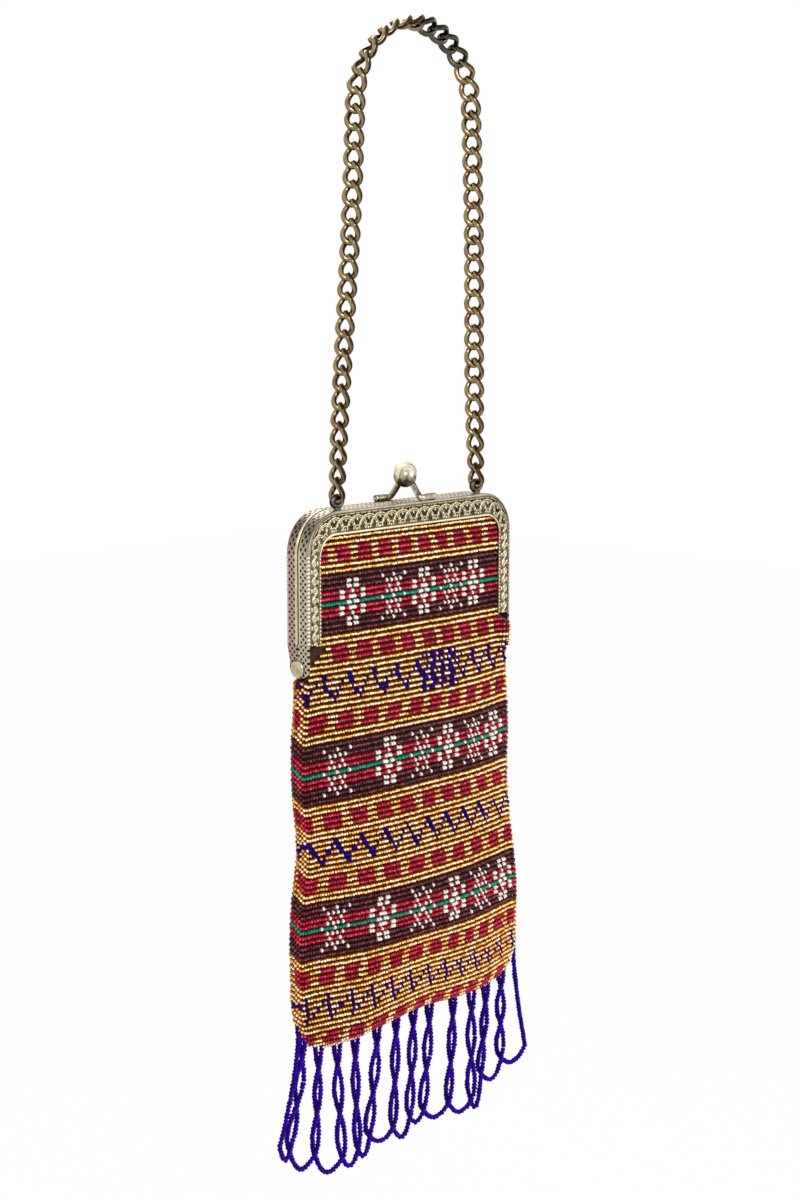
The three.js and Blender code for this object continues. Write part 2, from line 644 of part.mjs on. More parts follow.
// The pouch's front wall (side 1) or back wall (side -1): a ridge to each row of beads, hollow behind,
// open at the top.
function pouchPanel(side) {
  const levels = [[POUCH_BOTTOM + BOTTOM_SEAM, 0]];
  const lastRow = Math.floor((BODY_HEIGHT - TOP_BAND - BOTTOM_SEAM) / ROW_PITCH);
  const firstRow = Math.ceil((-POUCH_TOP - TOP_BAND) / ROW_PITCH);
  for (let row = lastRow; row >= firstRow; row -= 1) {
    const end = -TOP_BAND - row * ROW_PITCH;
    if (row < lastRow) levels.push([end - ROW_PITCH / 2, ROW_CREST]);
    const inside = end > POUCH_BOTTOM + BOTTOM_SEAM + GAP && end < POUCH_TOP - GAP;
    if (inside) levels.push([end, ROW_CREST - ROW_RIDGE]);
  }
  levels.push([POUCH_TOP, 0]);
  const outside = loft(levels.map(([z, grow]) => frontSection(z, grow, -GAP / 2).map(hung(side))));
  const hollow = plainPouch(0, POUCH_TOP + POUCH_TOP_GAP, -PANEL_THICKNESS);
  const sweep = solid(hingeBar(PANEL_SWEEP, -HALF_WIDTH - CUT_OVER, HALF_WIDTH + CUT_OVER, SWEEP_SIDES));
  return geometryOf(outside.subtract(hollow).subtract(sweep));
}

function pouchLining() {
  const outer = -PANEL_THICKNESS - GAP;
  const top = -HINGE_DROP - LINING_TOP_DROP;
  const bag = plainPouch(GAP, top, outer);
  const hollow = plainPouch(GAP + LINING_THICKNESS, top + LINING_THICKNESS, outer - LINING_THICKNESS);
  return geometryOf(bag.subtract(hollow));
}

// How far the bottom seam rises above the pouch's lowest line, away from the middle.
function seamRise(x) {
  const past = Math.abs(x) - (POUCH_BELLY_HALF - POUCH_CORNER_RADIUS);
  if (past <= 0) return BOTTOM_SEAM;
  const rise = POUCH_CORNER_RADIUS - Math.sqrt(Math.max(POUCH_CORNER_RADIUS ** 2 - past ** 2, 0));
  return Math.max(rise, BOTTOM_SEAM);
}

const LAST_COLUMN = FRINGE_COLUMNS.length - 1;
const loopBottom = (k) => POUCH_BOTTOM - LOOP_DROPS[k];

// Where a column's two legs part: above the lowest points of both its loops.
function columnEnd(k) {
  const loops = [k - 1, k].filter((i) => i >= 0 && i < LAST_COLUMN);
  return Math.max(...loops.map(loopBottom)) + LOOP_RISE;
}

// One leg of a loop: from the seam down its column, wound around the column's other leg. The two cross
// where they meet below the seam and where they part, to the right (side 1) and to the left (side -1).
// The first and last columns have one leg.
function legPoints(k, side) {
  const [share, stray] = FRINGE_COLUMNS[k];
  const place = share * POUCH_BELLY_HALF;
  const alone = k === 0 || k === LAST_COLUMN;
  const [end, merged] = [columnEnd(k), POUCH_BOTTOM - SEAM_MERGE];
  const halfTurns = Math.round((merged - end) / TWIST_HALF_PITCH);
  const radius = alone ? 0 : side * TWIST_RADIUS;
  const spread = alone ? 0 : -side * SEAM_SPREAD * Math.cos(Math.PI * halfTurns);
  const top = POUCH_BOTTOM + seamRise(Math.abs(place + spread) - STRAND_RADIUS) - GAP;
  const middle = place + pouchLean(POUCH_BOTTOM);
  const wound = heights(merged, end, halfTurns * TWIST_STEPS).map((z) => {
    const turn = (Math.PI * halfTurns * (z - end)) / (merged - end);
    const drift = stray * ((merged - z) / (merged - end)) ** STRAY_POWER;
    return new THREE.Vector3(middle + drift - radius * Math.sin(turn), radius * Math.cos(turn), z);
  });
  return [new THREE.Vector3(middle + spread, 0, top), ...wound];
}

function fringeLoop(k) {
  const left = legPoints(k, 1);
  const right = legPoints(k + 1, -1).reverse();
  const [from, to] = [left[left.length - 1], right[0]];
  const arc = LOOP_SHARES.map((share) => {
    const point = from.clone().lerp(to, share);
    const sag = 4 * share * (1 - share);
    return point.setZ(THREE.MathUtils.lerp(point.z, loopBottom(k), sag));
  });
  const points = [...left, ...arc, ...right];
  return bar(points, STRAND_RADIUS, STRAND_SIDES, points.length);
}

// The frame's two halves and what rides on them, then the pouch, all in the bag's own frame.
const bag = new THREE.Group();
bag.position.set(0, EYE_Y, -HANDLE_DROP);

addPart(bag, 'front_frame', frontFrame(), frameBrass);
addPart(bag, 'rear_frame', rearFrame(), frameBrass);
addPart(bag, 'right_hinge_rivet', hingeRivet(), ballBrass).position.z = -HINGE_DROP;
const leftRivet = addPart(bag, 'left_hinge_rivet', hingeRivet(), ballBrass);
leftRivet.position.z = -HINGE_DROP;
leftRivet.rotation.z = Math.PI;

addPart(bag, 'front_clasp_stem', claspStem(), frameBrass);
addPart(bag, 'front_clasp_ball', claspBall(), ballBrass);
addPart(bag, 'rear_clasp_stem', claspStem(), frameBrass).rotation.z = Math.PI;
addPart(bag, 'rear_clasp_ball', claspBall(), ballBrass).rotation.z = Math.PI;

addPart(bag, 'left_chain_eye', chainEye(), eyeMetal).position.set(-EYE_X, -EYE_Y, 0);
addPart(bag, 'right_chain_eye', chainEye(), eyeMetal).position.set(EYE_X, -EYE_Y, 0);

addPart(bag, 'front_window_panel', windowPanel(), goldBeads);
addPart(bag, 'back_window_panel', windowPanel(), goldBeads).rotation.z = Math.PI;
addPart(bag, 'front_window_lining', windowLining(), liningCloth);
addPart(bag, 'back_window_lining', windowLining(), liningCloth).rotation.z = Math.PI;
addPart(bag, 'front_channel_cord', channelCord(), paperCord);
addPart(bag, 'rear_channel_cord', channelCord(), paperCord).rotation.z = Math.PI;

addPart(bag, 'pouch_front_panel', pouchPanel(1), goldBeads);
addPart(bag, 'pouch_back_panel', pouchPanel(-1), goldBeads);
addPart(bag, 'pouch_lining', pouchLining(), liningCloth);

for (let k = 0; k < LAST_COLUMN; k += 1) {
  addPart(bag, `fringe_loop_${String(k + 1).padStart(2, '0')}`, fringeLoop(k), blueBeads);
}

const part = new THREE.Group();
addChain(part);
part.add(bag);

export default part;
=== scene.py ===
"""A bead-embroidered frame bag: brass kiss-lock frame, chain handle, beaded pouch and bead fringe.

In the bag's own frame lengths are in millimetres, x runs along the purse frame, the front faces -y,
z = 0 is the frame's top edge, and y = 0 is the plane where its two halves meet.
"""
import json
import math
from functools import reduce

import bpy
import numpy as np
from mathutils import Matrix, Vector


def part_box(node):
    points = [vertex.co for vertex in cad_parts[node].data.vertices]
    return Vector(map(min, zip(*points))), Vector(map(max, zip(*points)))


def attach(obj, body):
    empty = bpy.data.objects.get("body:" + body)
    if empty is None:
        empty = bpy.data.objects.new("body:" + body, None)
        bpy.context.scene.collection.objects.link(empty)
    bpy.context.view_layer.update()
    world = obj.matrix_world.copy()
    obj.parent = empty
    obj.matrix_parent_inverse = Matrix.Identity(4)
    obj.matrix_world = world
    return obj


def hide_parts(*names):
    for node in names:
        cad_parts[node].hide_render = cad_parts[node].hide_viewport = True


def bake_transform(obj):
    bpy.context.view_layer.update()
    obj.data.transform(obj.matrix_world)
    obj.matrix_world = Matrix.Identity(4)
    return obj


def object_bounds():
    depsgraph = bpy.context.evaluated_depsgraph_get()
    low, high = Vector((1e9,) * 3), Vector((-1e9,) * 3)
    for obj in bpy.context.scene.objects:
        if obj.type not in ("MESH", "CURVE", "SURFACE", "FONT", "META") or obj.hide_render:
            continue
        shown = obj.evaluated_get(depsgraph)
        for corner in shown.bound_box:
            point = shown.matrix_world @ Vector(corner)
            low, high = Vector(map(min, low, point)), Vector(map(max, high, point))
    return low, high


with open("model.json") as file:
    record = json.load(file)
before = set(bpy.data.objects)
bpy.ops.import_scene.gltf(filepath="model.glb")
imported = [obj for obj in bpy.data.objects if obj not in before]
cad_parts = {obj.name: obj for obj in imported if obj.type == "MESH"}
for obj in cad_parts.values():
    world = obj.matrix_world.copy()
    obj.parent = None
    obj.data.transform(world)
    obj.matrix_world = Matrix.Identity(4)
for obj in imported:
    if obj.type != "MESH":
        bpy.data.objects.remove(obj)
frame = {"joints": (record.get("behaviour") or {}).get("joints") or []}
cad_low, cad_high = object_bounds()

MM = 0.001
FRONT, BACK = 1, -1
HALF_BODIES = {FRONT: "front_half", BACK: "rear_half"}

joint_places = {joint["name"]: np.array(joint["pos_m"]) for joint in frame["joints"]}
hinge_place = joint_places["front_hinge"]
swing_place = joint_places["handle_swing"]
frame_low, frame_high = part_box("front_frame")
pouch_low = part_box("pouch_front_panel")[0]
BAG_ORIGIN = np.array([0.0, hinge_place[1], frame_high.z])

# The purse frame.
HALF_WIDTH = frame_high.x / MM
FACE_DEPTH = (hinge_place[1] - frame_low.y) / MM
HINGE_Z = (hinge_place[2] - frame_high.z) / MM
PARTING = 0.2
SHEET = 0.9
TOP_BAND = 9.7
LEG_BAND = 7
OUTER_CORNER = 16.5
WINDOW_CORNER = 8
LEG_LENGTH = 51.4
INNER_LIP = 4.5
EDGE_ROUND = 0.95
EAR_RADIUS = 3.6
EAR_GAP = 0.3
FRONT_EAR_INSET = 0.4
BACK_EAR_INSET = 0.3
EAR_SHOULDER = 1.2
EAR_STEPS = 14
BACK_EAR_ARC = (8, 86)
FLAT_FACE = 3e-6
RIVET_HEAD = 3.5
RIVET_DOME = 1
RIVET_CROWN = 0.05
RIVET_ROUNDING = 0.6
RIVET_SHANK = 1.1
RIVET_TAIL = 1.9
RIVET_TAIL_HEIGHT = 0.6
RIVET_LENGTH = 3.9
RIVET_INSET = 3.6
RIVET_STEPS, RIVET_SIDES = 12, 40
CORD_RADIUS = 1
CORD_ROOM = 1.1
CORD_STRANDS = 3
CORD_GROOVE = 0.1
CORD_SIDES = 12
CORD_TWIST = 9
CORD_END = 46
CORD_STEPS = (60, 13, 69)

# The frame's pressed face, pearled edge and milled wall: points across each, heights, and how worn they are,
# with painted shade on the walls' top and bends and on the edge's bends, and a painted shadow line at the
# front half's parting.
RELIEF_STEP = 0.25
CORNER_STRETCH = 1.2
FACE_STEPS, EDGE_STEPS, WALL_STEPS = 36, 6, 15
FACE_SHARE = 0.86
FACE_SINK = 0.25
FULL_RELIEF = 0.32
GILT_STEPS = 4
GILT_WIDTH = 0.5
GILT_HEIGHT = 0.2
# The front half's wall points painted dark beside the parting: a painted shadow line.
PARTING_SHADOW_STEPS = 2
PEARL_PITCH = 1.5
PEARL_HEIGHT = 0.2
PLAIN_EDGE = 0.25
KNURL_PITCH = 1.25
GROUND_WEAR, LEG_WEAR = 0.04, 0.12
# Painted shade: the walls darker on the top and round the bends, and the edge darker round the bends.
WALL_WEAR, TOP_SHADE, BEND_SHADE = 0.88, 0.2, 0.45
EDGE_WEAR, PEARL_WEAR, EDGE_SHADE = 0.2, 0.7, 0.3

# The ornament: ridges have a distance, a half width and a height, and buds a place aside and across, a
# radius and a height. Pits have places, and one size.
ARCH_PITCH = 6.4
ARCH_FOOT = 1.8
ARCH_START = 1.5
ARCH_RIDGES = [(5.3, 0.26, 0.3), (4.5, 0.2, 0.22)]
ARCH_RING = (1.35, 0.24, 0.24)
ARCH_BUDS = [(0, 1.8, 0.5, 0.28), (0, 5.5, 0.5, 0.28), (1.9, 3.5, 0.42, 0.26)]
ARCH_PITS = [(0, 4.2), (1.3, 4.9), (2.4, 2.4), (3.2, 3.9), (3.2, 7.1), (1.3, 7.5)]
ARCH_PIT = (0.46, 0.4)
OUTER_LINE = (7.9, 0.24, 0.2)
GROUND_GRAIN, GROUND_HEIGHT = 0.8, 0.05
RIM_WIDTH, RIM_HEIGHT = 1.1, 0.32
VINE_BEND = 3.6
VINE_MIDDLE = 4.7
VINE_STEM = (1.9, 0.42, 0.3)
VINE_CURL = (0.95, 0.28, 0.28)
CURL_MIDDLE = 0.1
CURL_BUD = (0.4, 0.3)
LEAF_PLACE, LEAF_STRETCH = -2.2, 1.4
LEAF = (0.7, 0.26)
VINE_PITS = [(1.3, -1.9), (-1.3, -1.9), (0.9, 2.9)]
VINE_PIT = (0.42, 0.3)

# The pouch and its rows of beads.
POUCH_TOP = -TOP_BAND
POUCH_BOTTOM = (pouch_low.z - frame_high.z) / MM
ROW_PITCH = 2.125
ROW_COUNT = 96
BEAD_PITCH = 1.26
BEAD_RADIUS = 1.04
BEAD_LENGTH = 1.2
PLACE_SPREAD, TILT_SPREAD, RADIUS_SPREAD, LENGTH_SPREAD = 0.07, 0.05, 0.035, 0.05
WINDOW_HALF = 53.6
POUCH_TOP_HALF = 59.7
POUCH_BELLY_HALF = 61.4
BAND_SWELL = 0.75
BAND_ROWS = 30
FIRST_GREEN_ROW = 12
HIP = 1.2
LOWER_SWELL = 2
SIDE_ROUND = 1.6
SIDE_LIFT = 3.1
SIDE_DIP = 0.5
DIP_WIDTH = 3.5
EAR_CLEARANCE = 3.1
TUCK_WIDTH = 1.5
TUCK_DEPTH = 3.4
TUCK_SPAN = 5
WINDOW_EDGE_DEPTH, EDGE_DEPTH = 4.1, 2.5
WINDOW_BULGE, BULGE = 1.3, 6.7
BOTTOM_CORNER = 18
BOTTOM_ROUND = 7
LEAST_OPEN, LEAST_WRAP = 0.02, 0.05
SEAM_FADE = 20
SECTION_POINTS, SIDE_POINTS = 81, 10
TANGENT_STEP = 0.2
CLOTH_ROWS, CLOTH_COLUMNS = 70, 48
UPPER_ROWS = 34
MIDDLE_ROWS = 65
UPPER_LEAN = 0.9
POUCH_LEAN = 3
POUCH_TURN = math.radians(3)

# What changes down the pouch: the height where each change begins, and the span below it where it ends.
WINDOW_FILLS = (POUCH_TOP, 14)
LOOSENS = (-46, 30)
BARE_BEGINS = (-49, 4)
BARE_ENDS = (-57, 5)
LEG_ENDS = (-LEG_LENGTH, 4)
LEAN_BEGINS = (HINGE_Z, 10)
HIPS_BEGIN = (HINGE_Z, 25)
BACK_LOOSENS = (-60, 20)
RIPPLES_BEGIN = (-60, 30)
WRAP_BEGINS = (-63, 5)
LEAN_GROWS = (-111, 30)
LOWER_SWELLS = (-115, 45)
TURN_GROWS = (-136, 60)

# The fringe: each column's place along the seam, as a share of the pouch's half width, and how far its
# lower end strays sideways; then how far each loop hangs below the pouch.
FRINGE_COLUMNS = [
    (-0.985, -10), (-0.95, -7.2), (-0.81, -2.2), (-0.645, 2.5), (-0.484, 1.2), (-0.288, -5), (-0.111, -1.7),
    (0.05, -2.2), (0.202, -3.9), (0.43, -2.6), (0.612, 0), (0.752, -3.2), (0.905, -0.2), (1.03, 8),
]
LOOP_DROPS = [47.5, 54.2, 59.5, 60.3, 58, 54.3, 55.9, 51.6, 52.5, 54, 54.7, 44.3, 40.2]
LOOP_RISE = 6
SEAM_SPREAD = 1.9
SEAM_MERGE = 6.5
SEAM_THICKNESS = 0.6
TWIST_WIDTH = 1.55
TWIST_DEPTH = 1.2
TWIST_HALF_PITCH = 19
TWIST_VARIES, TWIST_WAVE = 0.15, 2.7
STRAY_CURVE = 1.5
LEG_POINTS, ARC_POINTS, STRAND_STEPS = 40, 18, 3
STRAND_RADIUS = 1.15
STRAND_PITCH = 1.45
STRAND_LENGTH = STRAND_PITCH * 1.04
STRAND_PLACE_SPREAD, STRAND_RADIUS_SPREAD = 0.06, 0.05
# The way the fringe beads' painted highlight faces: to the front and up.
STRAND_FACING = (0.2, -1.0, 0.4)

# The chain and its eyes.
EYE_WIRE = 0.75
EYE_THICKNESS = 1.0
EYE_HALF_WIDTH = 2.8
EYE_FOOT_RADIUS = 1.7
EYE_NECK_RADIUS = 1.2
EYE_FOOT_HEIGHT = 1
EYE_FOOT_EDGE = 0.3
EYE_STEPS, EYE_SIDES, EYE_FOOT_SIDES = 36, 14, 28
FIT_GAP = 0.3
ARCH_RADIUS = 33
LINK_WIRE = 1
LINK_FULLNESS = 1.12
LINK_WIDTH = 8.5
LINK_STEPS, LINK_SIDES = 28, 12
HANDLE_LEAN = 3.2
LEAN_START = 15
LEAN_HEIGHT = 115
LINK_WELD = 0.5
LINK_TWIST = math.pi / 4
CHAIN_ROLL_SHARES = [0, 0.06, 0.28, 0.385, 0.43, 0.49, 0.52, 0.61, 0.9, 1]
CHAIN_ROLL_DEGREES = [105, 92, 76, 76, 102, 102, 140, 108, 108, 75]
TARNISHED = (0.505, 0.585)
CHAIN_RUNS = [
    ("chain_left_lower", 7), ("chain_left_middle", 7), ("chain_left_upper", 7),
    ("chain_arch_left", 5), ("chain_arch_top", 5), ("chain_arch_right", 5),
    ("chain_right_upper", 7), ("chain_right_middle", 7), ("chain_right_lower", 7),
]

# The clasp.
BALL_RADIUS = 4.7
BALL_HEIGHT = 10.6
BALL_OVERHANG = 4.5
BALL_STEPS, BALL_SIDES = 28, 48
BALL_POLE = 0.02
STEM_RADIUS = 1.3
STEM_BORE = 0.6
BORE_DEPTH = 2.5
STEM_FOOT_INNER = 3.4
STEM_FOOT_OUTER = 11.7
STEM_INSET = 0.8
STEM_BOW = 0.4
STEM_STEPS, STEM_SIDES = 9, 20
CLASP_SHIFT = 1.3

# The camera in the bag's own frame, and the studio in metres.
CAMERA_TARGET = np.array([-1.7, 0.0, -40.3])
CAMERA_TURN = -46.32
CAMERA_DROP = 8.96
CAMERA_DISTANCE = 920.6
CAMERA_LENS = 68.34
CAMERA_SENSOR = 36
AMBIENT = 0.55
FLOOR_DROP = 0.25
FLOOR_HALF = 3.0
FLOOR_GLOW = 0.97


def smooth(t):
    share = np.clip(t, 0, 1)
    return share * share * (3 - 2 * share)


def mix(a, b, t):
    return a + (b - a) * t


def below(z, top, span):
    """From 0 at a height to 1 at a span below it."""
    return smooth((top - z) / span)


def unit(vectors):
    return vectors / np.linalg.norm(vectors, axis=-1, keepdims=True)


def distances(points):
    """How far along a line each of its points is."""
    return np.concatenate([[0], np.cumsum(np.linalg.norm(np.diff(points, axis=0), axis=1))])


def srgb(red, green, blue):
    """A colour written as 0 to 255 screen values, as the shader wants it."""
    shares = [channel / 255 for channel in (red, green, blue)]
    linear = [s / 12.92 if s <= 0.04045 else ((s + 0.055) / 1.055) ** 2.4 for s in shares]
    return (*linear, 1.0)


class Tone:
    """A number or colour that varies over a surface. Arithmetic on numbers adds Math nodes."""

    def __init__(self, nodes, socket):
        self.nodes = nodes
        self.socket = socket

    def math(self, operation, *terms):
        return self.nodes.node("Math", {"operation": operation}, terms)

    def __add__(self, other):
        return self.math("ADD", self, other)

    def __sub__(self, other):
        return self.math("SUBTRACT", self, other)

    def __rsub__(self, other):
        return self.math("SUBTRACT", other, self)

    def __mul__(self, other):
        return self.math("MULTIPLY", self, other)

    __radd__ = __add__
    __rmul__ = __mul__

    def sine(self):
        return self.math("SINE", self)

    def clamped(self):
        return self.nodes.node("Clamp", {}, [self])

    def larger(self, other):
        return self.math("MAXIMUM", self, other)


class Nodes:
    """The nodes of one material or world."""

    def __init__(self, tree):
        self.tree = tree

    def put(self, socket, value):
        if isinstance(value, Tone):
            self.tree.links.new(value.socket, socket)
        else:
            socket.default_value = value

    def node(self, kind, settings, inputs=(), output=0):
        """A node of a kind: its settings first, then the values or links of its sockets."""
        made = self.tree.nodes.new("ShaderNode" + kind)
        for name, value in settings.items():
            setattr(made, name, value)
        for key, value in inputs.items() if isinstance(inputs, dict) else enumerate(inputs):
            self.put(made.inputs[key], value)
        return Tone(self, made.outputs[output])

    def seen_directly(self):
        """1 for what the camera, a mirror or clear glass sees, and 0 for light on a surface."""
        rays = ("Is Camera Ray", "Is Glossy Ray", "Is Transmission Ray")
        return reduce(Tone.larger, [self.node("LightPath", {}, output=ray) for ray in rays])


class Finish(Nodes):
    """A surface finish: a Principled shader with constant values, and nodes that vary some of them."""

    def __init__(self, name, values):
        self.material = bpy.data.materials.new(name)
        self.material.use_nodes = True
        super().__init__(self.material.node_tree)
        self.shader = self.tree.nodes["Principled BSDF"]
        self.set(values)

    def set(self, values):
        for name, value in values.items():
            self.put(self.shader.inputs[name], value)

    def place(self):
        return self.node("TexCoord", {}, output="Object")

    def attribute(self, name):
        return self.node("Attribute", {"attribute_name": name}, output="Fac")

    def noise(self, size, detail=3.0):
        """Soft noise from 0 to 1 whose patches are about this big."""
        inputs = {"Vector": self.place(), "Scale": 1 / (size * MM), "Detail": detail}
        return self.node("TexNoise", {}, inputs, "Fac")

    def colour(self, share, *ends):
        """From one colour to another as a share goes from 0 to 1."""
        low, high = (end if isinstance(end, Tone) else srgb(*end) for end in ends)
        return self.node("Mix", {"data_type": "RGBA"}, {0: share, 6: low, 7: high}, 2)

    def bump(self, height, depth):
        inputs = {"Height": height, "Distance": depth * MM, "Strength": 1.0}
        self.set({"Normal": self.node("Bump", {}, inputs)})
        return self


def in_scene(name, data):
    made = bpy.data.objects.new(name, data)
    bpy.context.scene.collection.objects.link(made)
    return made


class Shape:
    """The points and faces of a piece being made, with a finish number for each face."""

    def __init__(self):
        self.points = []
        self.faces = []
        self.finishes = []
        self.marks = {}
        self.count = 0

    def add(self, points, faces, finishes=None, marks=None):
        """Adds points, and arrays of faces with an equal number of corners in each."""
        points = np.asarray(points, float).reshape(-1, 3)
        for number, group in enumerate(faces):
            group = np.asarray(group, int)
            self.faces += (group + self.count).tolist()
            self.finishes.append(np.zeros(len(group), int) if finishes is None else finishes[number])
        for name, values in (marks or {}).items():
            self.marks.setdefault(name, []).append((self.count, np.asarray(values, float).ravel()))
        self.points.append(points)
        self.count += len(points)

    def piece(self, name, finishes, side=FRONT, moved=None):
        """The mesh object in the shared frame, half turned for the back, and moved by a function of
        its points in the bag's own frame."""
        points = np.concatenate(self.points) * np.array([side, side, 1.0])
        points = BAG_ORIGIN + MM * (moved(points) if moved else points)
        mesh = bpy.data.meshes.new(name)
        mesh.from_pydata(points.tolist(), [], self.faces)
        for finish in finishes:
            mesh.materials.append(finish.material)
        mesh.polygons.foreach_set("material_index", np.concatenate(self.finishes).astype(np.int32))
        mesh.polygons.foreach_set("use_smooth", np.full(len(mesh.polygons), True))
        for mark, parts in self.marks.items():
            values = np.zeros(self.count, np.float32)
            for start, part in parts:
                values[start:start + len(part)] = part
            mesh.attributes.new(mark, "FLOAT", "POINT").data.foreach_set("value", values)
        mesh.update()
        return in_scene(name, mesh)


def fit(made, node, body):
    """Puts a piece in its solid's place, on its body."""
    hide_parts(node)
    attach(made, body)


def grid_faces(rows, columns, ring_rows=False, ring_columns=True):
    """The quads of a grid of points: rows along a piece, columns around it."""
    row = np.arange(rows if ring_rows else rows - 1)[:, None]
    column = np.arange(columns if ring_columns else columns - 1)[None, :]
    next_row, next_column = (row + 1) % rows, (column + 1) % columns
    corners = [row * columns + column, row * columns + next_column,
               next_row * columns + next_column, next_row * columns + column]
    return np.stack(np.broadcast_arrays(*corners), axis=-1).reshape(-1, 4)


def end_faces(rows, columns):
    """The two end faces of such a grid."""
    around = np.arange(columns)
    return np.array([around[::-1], (rows - 1) * columns + around])


def wire(shape, path, side, radius, sides, ring=False, along=None, finish=0, bright=None):
    """Adds a round wire along a path. Side says where its sections start, and the radius may vary.
    Its cheeks, a quarter turn from there, are marked as bright for painted highlights, unless that is given
    along the path."""
    path = np.asarray(path, float)
    if along is None:
        along = np.roll(path, -1, 0) - np.roll(path, 1, 0) if ring else np.gradient(path, axis=0)
    along = unit(np.broadcast_to(along, path.shape))
    side = np.broadcast_to(side, path.shape)
    side = unit(side - np.sum(side * along, axis=1, keepdims=True) * along)
    up = np.cross(along, side)
    turn = 2 * np.pi * np.arange(sides) / sides
    ray = np.cos(turn)[None, :, None] * side[:, None] + np.sin(turn)[None, :, None] * up[:, None]
    reach = np.broadcast_to(radius, (sides, len(path))).T if np.ndim(radius) < 2 else radius
    points = path[:, None] + reach[..., None] * ray
    faces = [grid_faces(len(path), sides, ring_rows=ring)]
    if not ring:
        faces.append(end_faces(len(path), sides))
    finishes = [np.full(len(group), finish) for group in faces]
    cheek = np.tile(np.abs(np.sin(turn)), len(path)) if bright is None else np.repeat(bright, sides)
    shape.add(points, faces, finishes, {"cheek": cheek})


# A direction that no turned piece's axis has.
ASLANT = (0.3, 0.5, 0.8)


def turned(shape, profile, start, axis, sides, bright=None):
    """Adds a turned solid: radii and heights along an axis from a start."""
    radii, heights = np.array(profile, float).T
    axis = np.array(axis, float)
    path = np.array(start, float) + heights[:, None] * axis
    wire(shape, path, np.cross(axis, ASLANT), radii, sides, along=axis, bright=bright)


def through(points, steps):
    """A smooth curve through points, with so many steps between each two."""
    points = np.asarray(points, float)
    padded = np.vstack([2 * points[0] - points[1], points, 2 * points[-1] - points[-2]])
    t = np.linspace(0, 1, steps, endpoint=False)[:, None]
    spans = []
    for a, b, c, d in zip(padded, padded[1:], padded[2:], padded[3:]):
        spans.append(0.5 * (2 * b + (c - a) * t + (2 * a - 5 * b + 4 * c - d) * t ** 2
                            + (3 * b - a - 3 * c + d) * t ** 3))
    return np.vstack([*spans, points[-1:]])


def glass_beads(name, colours, roughness, metallic=0.0, gloss=0.12):
    """Near tones of one kind of glass bead, each as three finishes with painted light: a painted highlight on
    its crest, a lit upper side and a painted shaded lower side.
    """
    finishes = []
    for number, tones in enumerate(colours):
        for part, colour in zip(("highlight_crest", "upper", "lower"), tones):
            finishes.append(Finish(f"{name}_{number + 1}_{part}", {
                "Base Color": srgb(*colour), "Roughness": roughness, "Metallic": metallic,
                "Specular IOR Level": gloss, "Coat Weight": gloss, "Coat Roughness": 0.05,
            }))
    return finishes


GOLD, RED, BROWN, GREEN, WHITE, VIOLET = range(6)
BEAD_PARTS = 3
# Each tone lists three colours of one glass: the crest's painted highlight, the lit upper side and the
# painted shaded lower side.
bead_finishes = [
    glass_beads("gold_lined_bead", [
        [(255, 252, 220), (212, 126, 16), (182, 88, 0)],
        [(255, 246, 192), (200, 112, 8), (170, 78, 0)],
        [(254, 222, 136), (184, 96, 4), (156, 68, 0)],
        [(236, 180, 80), (170, 84, 2), (144, 60, 0)],
    ], 0.3, 0.5, 0.06),
    glass_beads("red_bead", [
        [(222, 66, 92), (170, 10, 40), (130, 2, 26)],
        [(190, 32, 56), (156, 6, 36), (118, 0, 24)],
        [(164, 18, 42), (140, 4, 30), (104, 0, 20)],
    ], 0.24),
    glass_beads("brown_bead", [
        [(126, 68, 72), (80, 28, 32), (62, 17, 19)],
        [(94, 40, 44), (70, 23, 26), (54, 14, 16)],
        [(78, 28, 32), (60, 18, 21), (46, 11, 13)],
    ], 0.22),
    glass_beads("green_bead", [
        [(24, 158, 122), (10, 126, 96), (2, 94, 72)],
        [(14, 138, 106), (6, 110, 84), (0, 82, 62)],
    ], 0.22),
    glass_beads("white_bead", [
        [(255, 252, 247), (246, 236, 224), (222, 202, 186)],
        [(252, 244, 234), (238, 224, 208), (210, 188, 170)],
    ], 0.24),
    glass_beads("violet_bead", [
        [(54, 4, 160), (34, 0, 122), (24, 0, 92)],
        [(44, 2, 136), (28, 0, 104), (20, 0, 78)],
    ], 0.3, 0.0, 0.02),
]
bead_palette = [finish for finishes in bead_finishes for finish in finishes]
bead_first = np.cumsum([0] + [len(finishes) for finishes in bead_finishes])


def pressed_brass(name, recess_and_shade, raised, wall_tone):
    """Antique brass sheet: worn bright where it is raised and dark in the recesses, milled on its walls, with
    painted shade on its walls and edge and a painted shadow line at the parting where its mark paints them.
    """
    finish = Finish(name, {"Metallic": 1.0})
    patina = finish.noise(4)
    grain = finish.noise(0.5, 5)
    wall = finish.attribute("wall")
    run, across = (finish.attribute(way) * (math.pi / KNURL_PITCH) for way in ("run", "across"))
    dots = ((run.sine() * across.sine() - 0.1) * 2.4).clamped() * wall
    # The mark holds the wear, and on the walls and edge also painted shade.
    worn_and_shaded = (finish.attribute("wear_and_shade") - dots * 1.1 + (patina - 0.5) * 0.3).clamped()
    finish.set({
        "Base Color": finish.colour(worn_and_shaded, recess_and_shade, finish.colour(wall, raised, wall_tone)),
        "Roughness": 0.48 - worn_and_shaded * 0.18 + (grain - 0.5) * 0.16,
    })
    return finish.bump(grain * 0.2 - dots, 0.14)


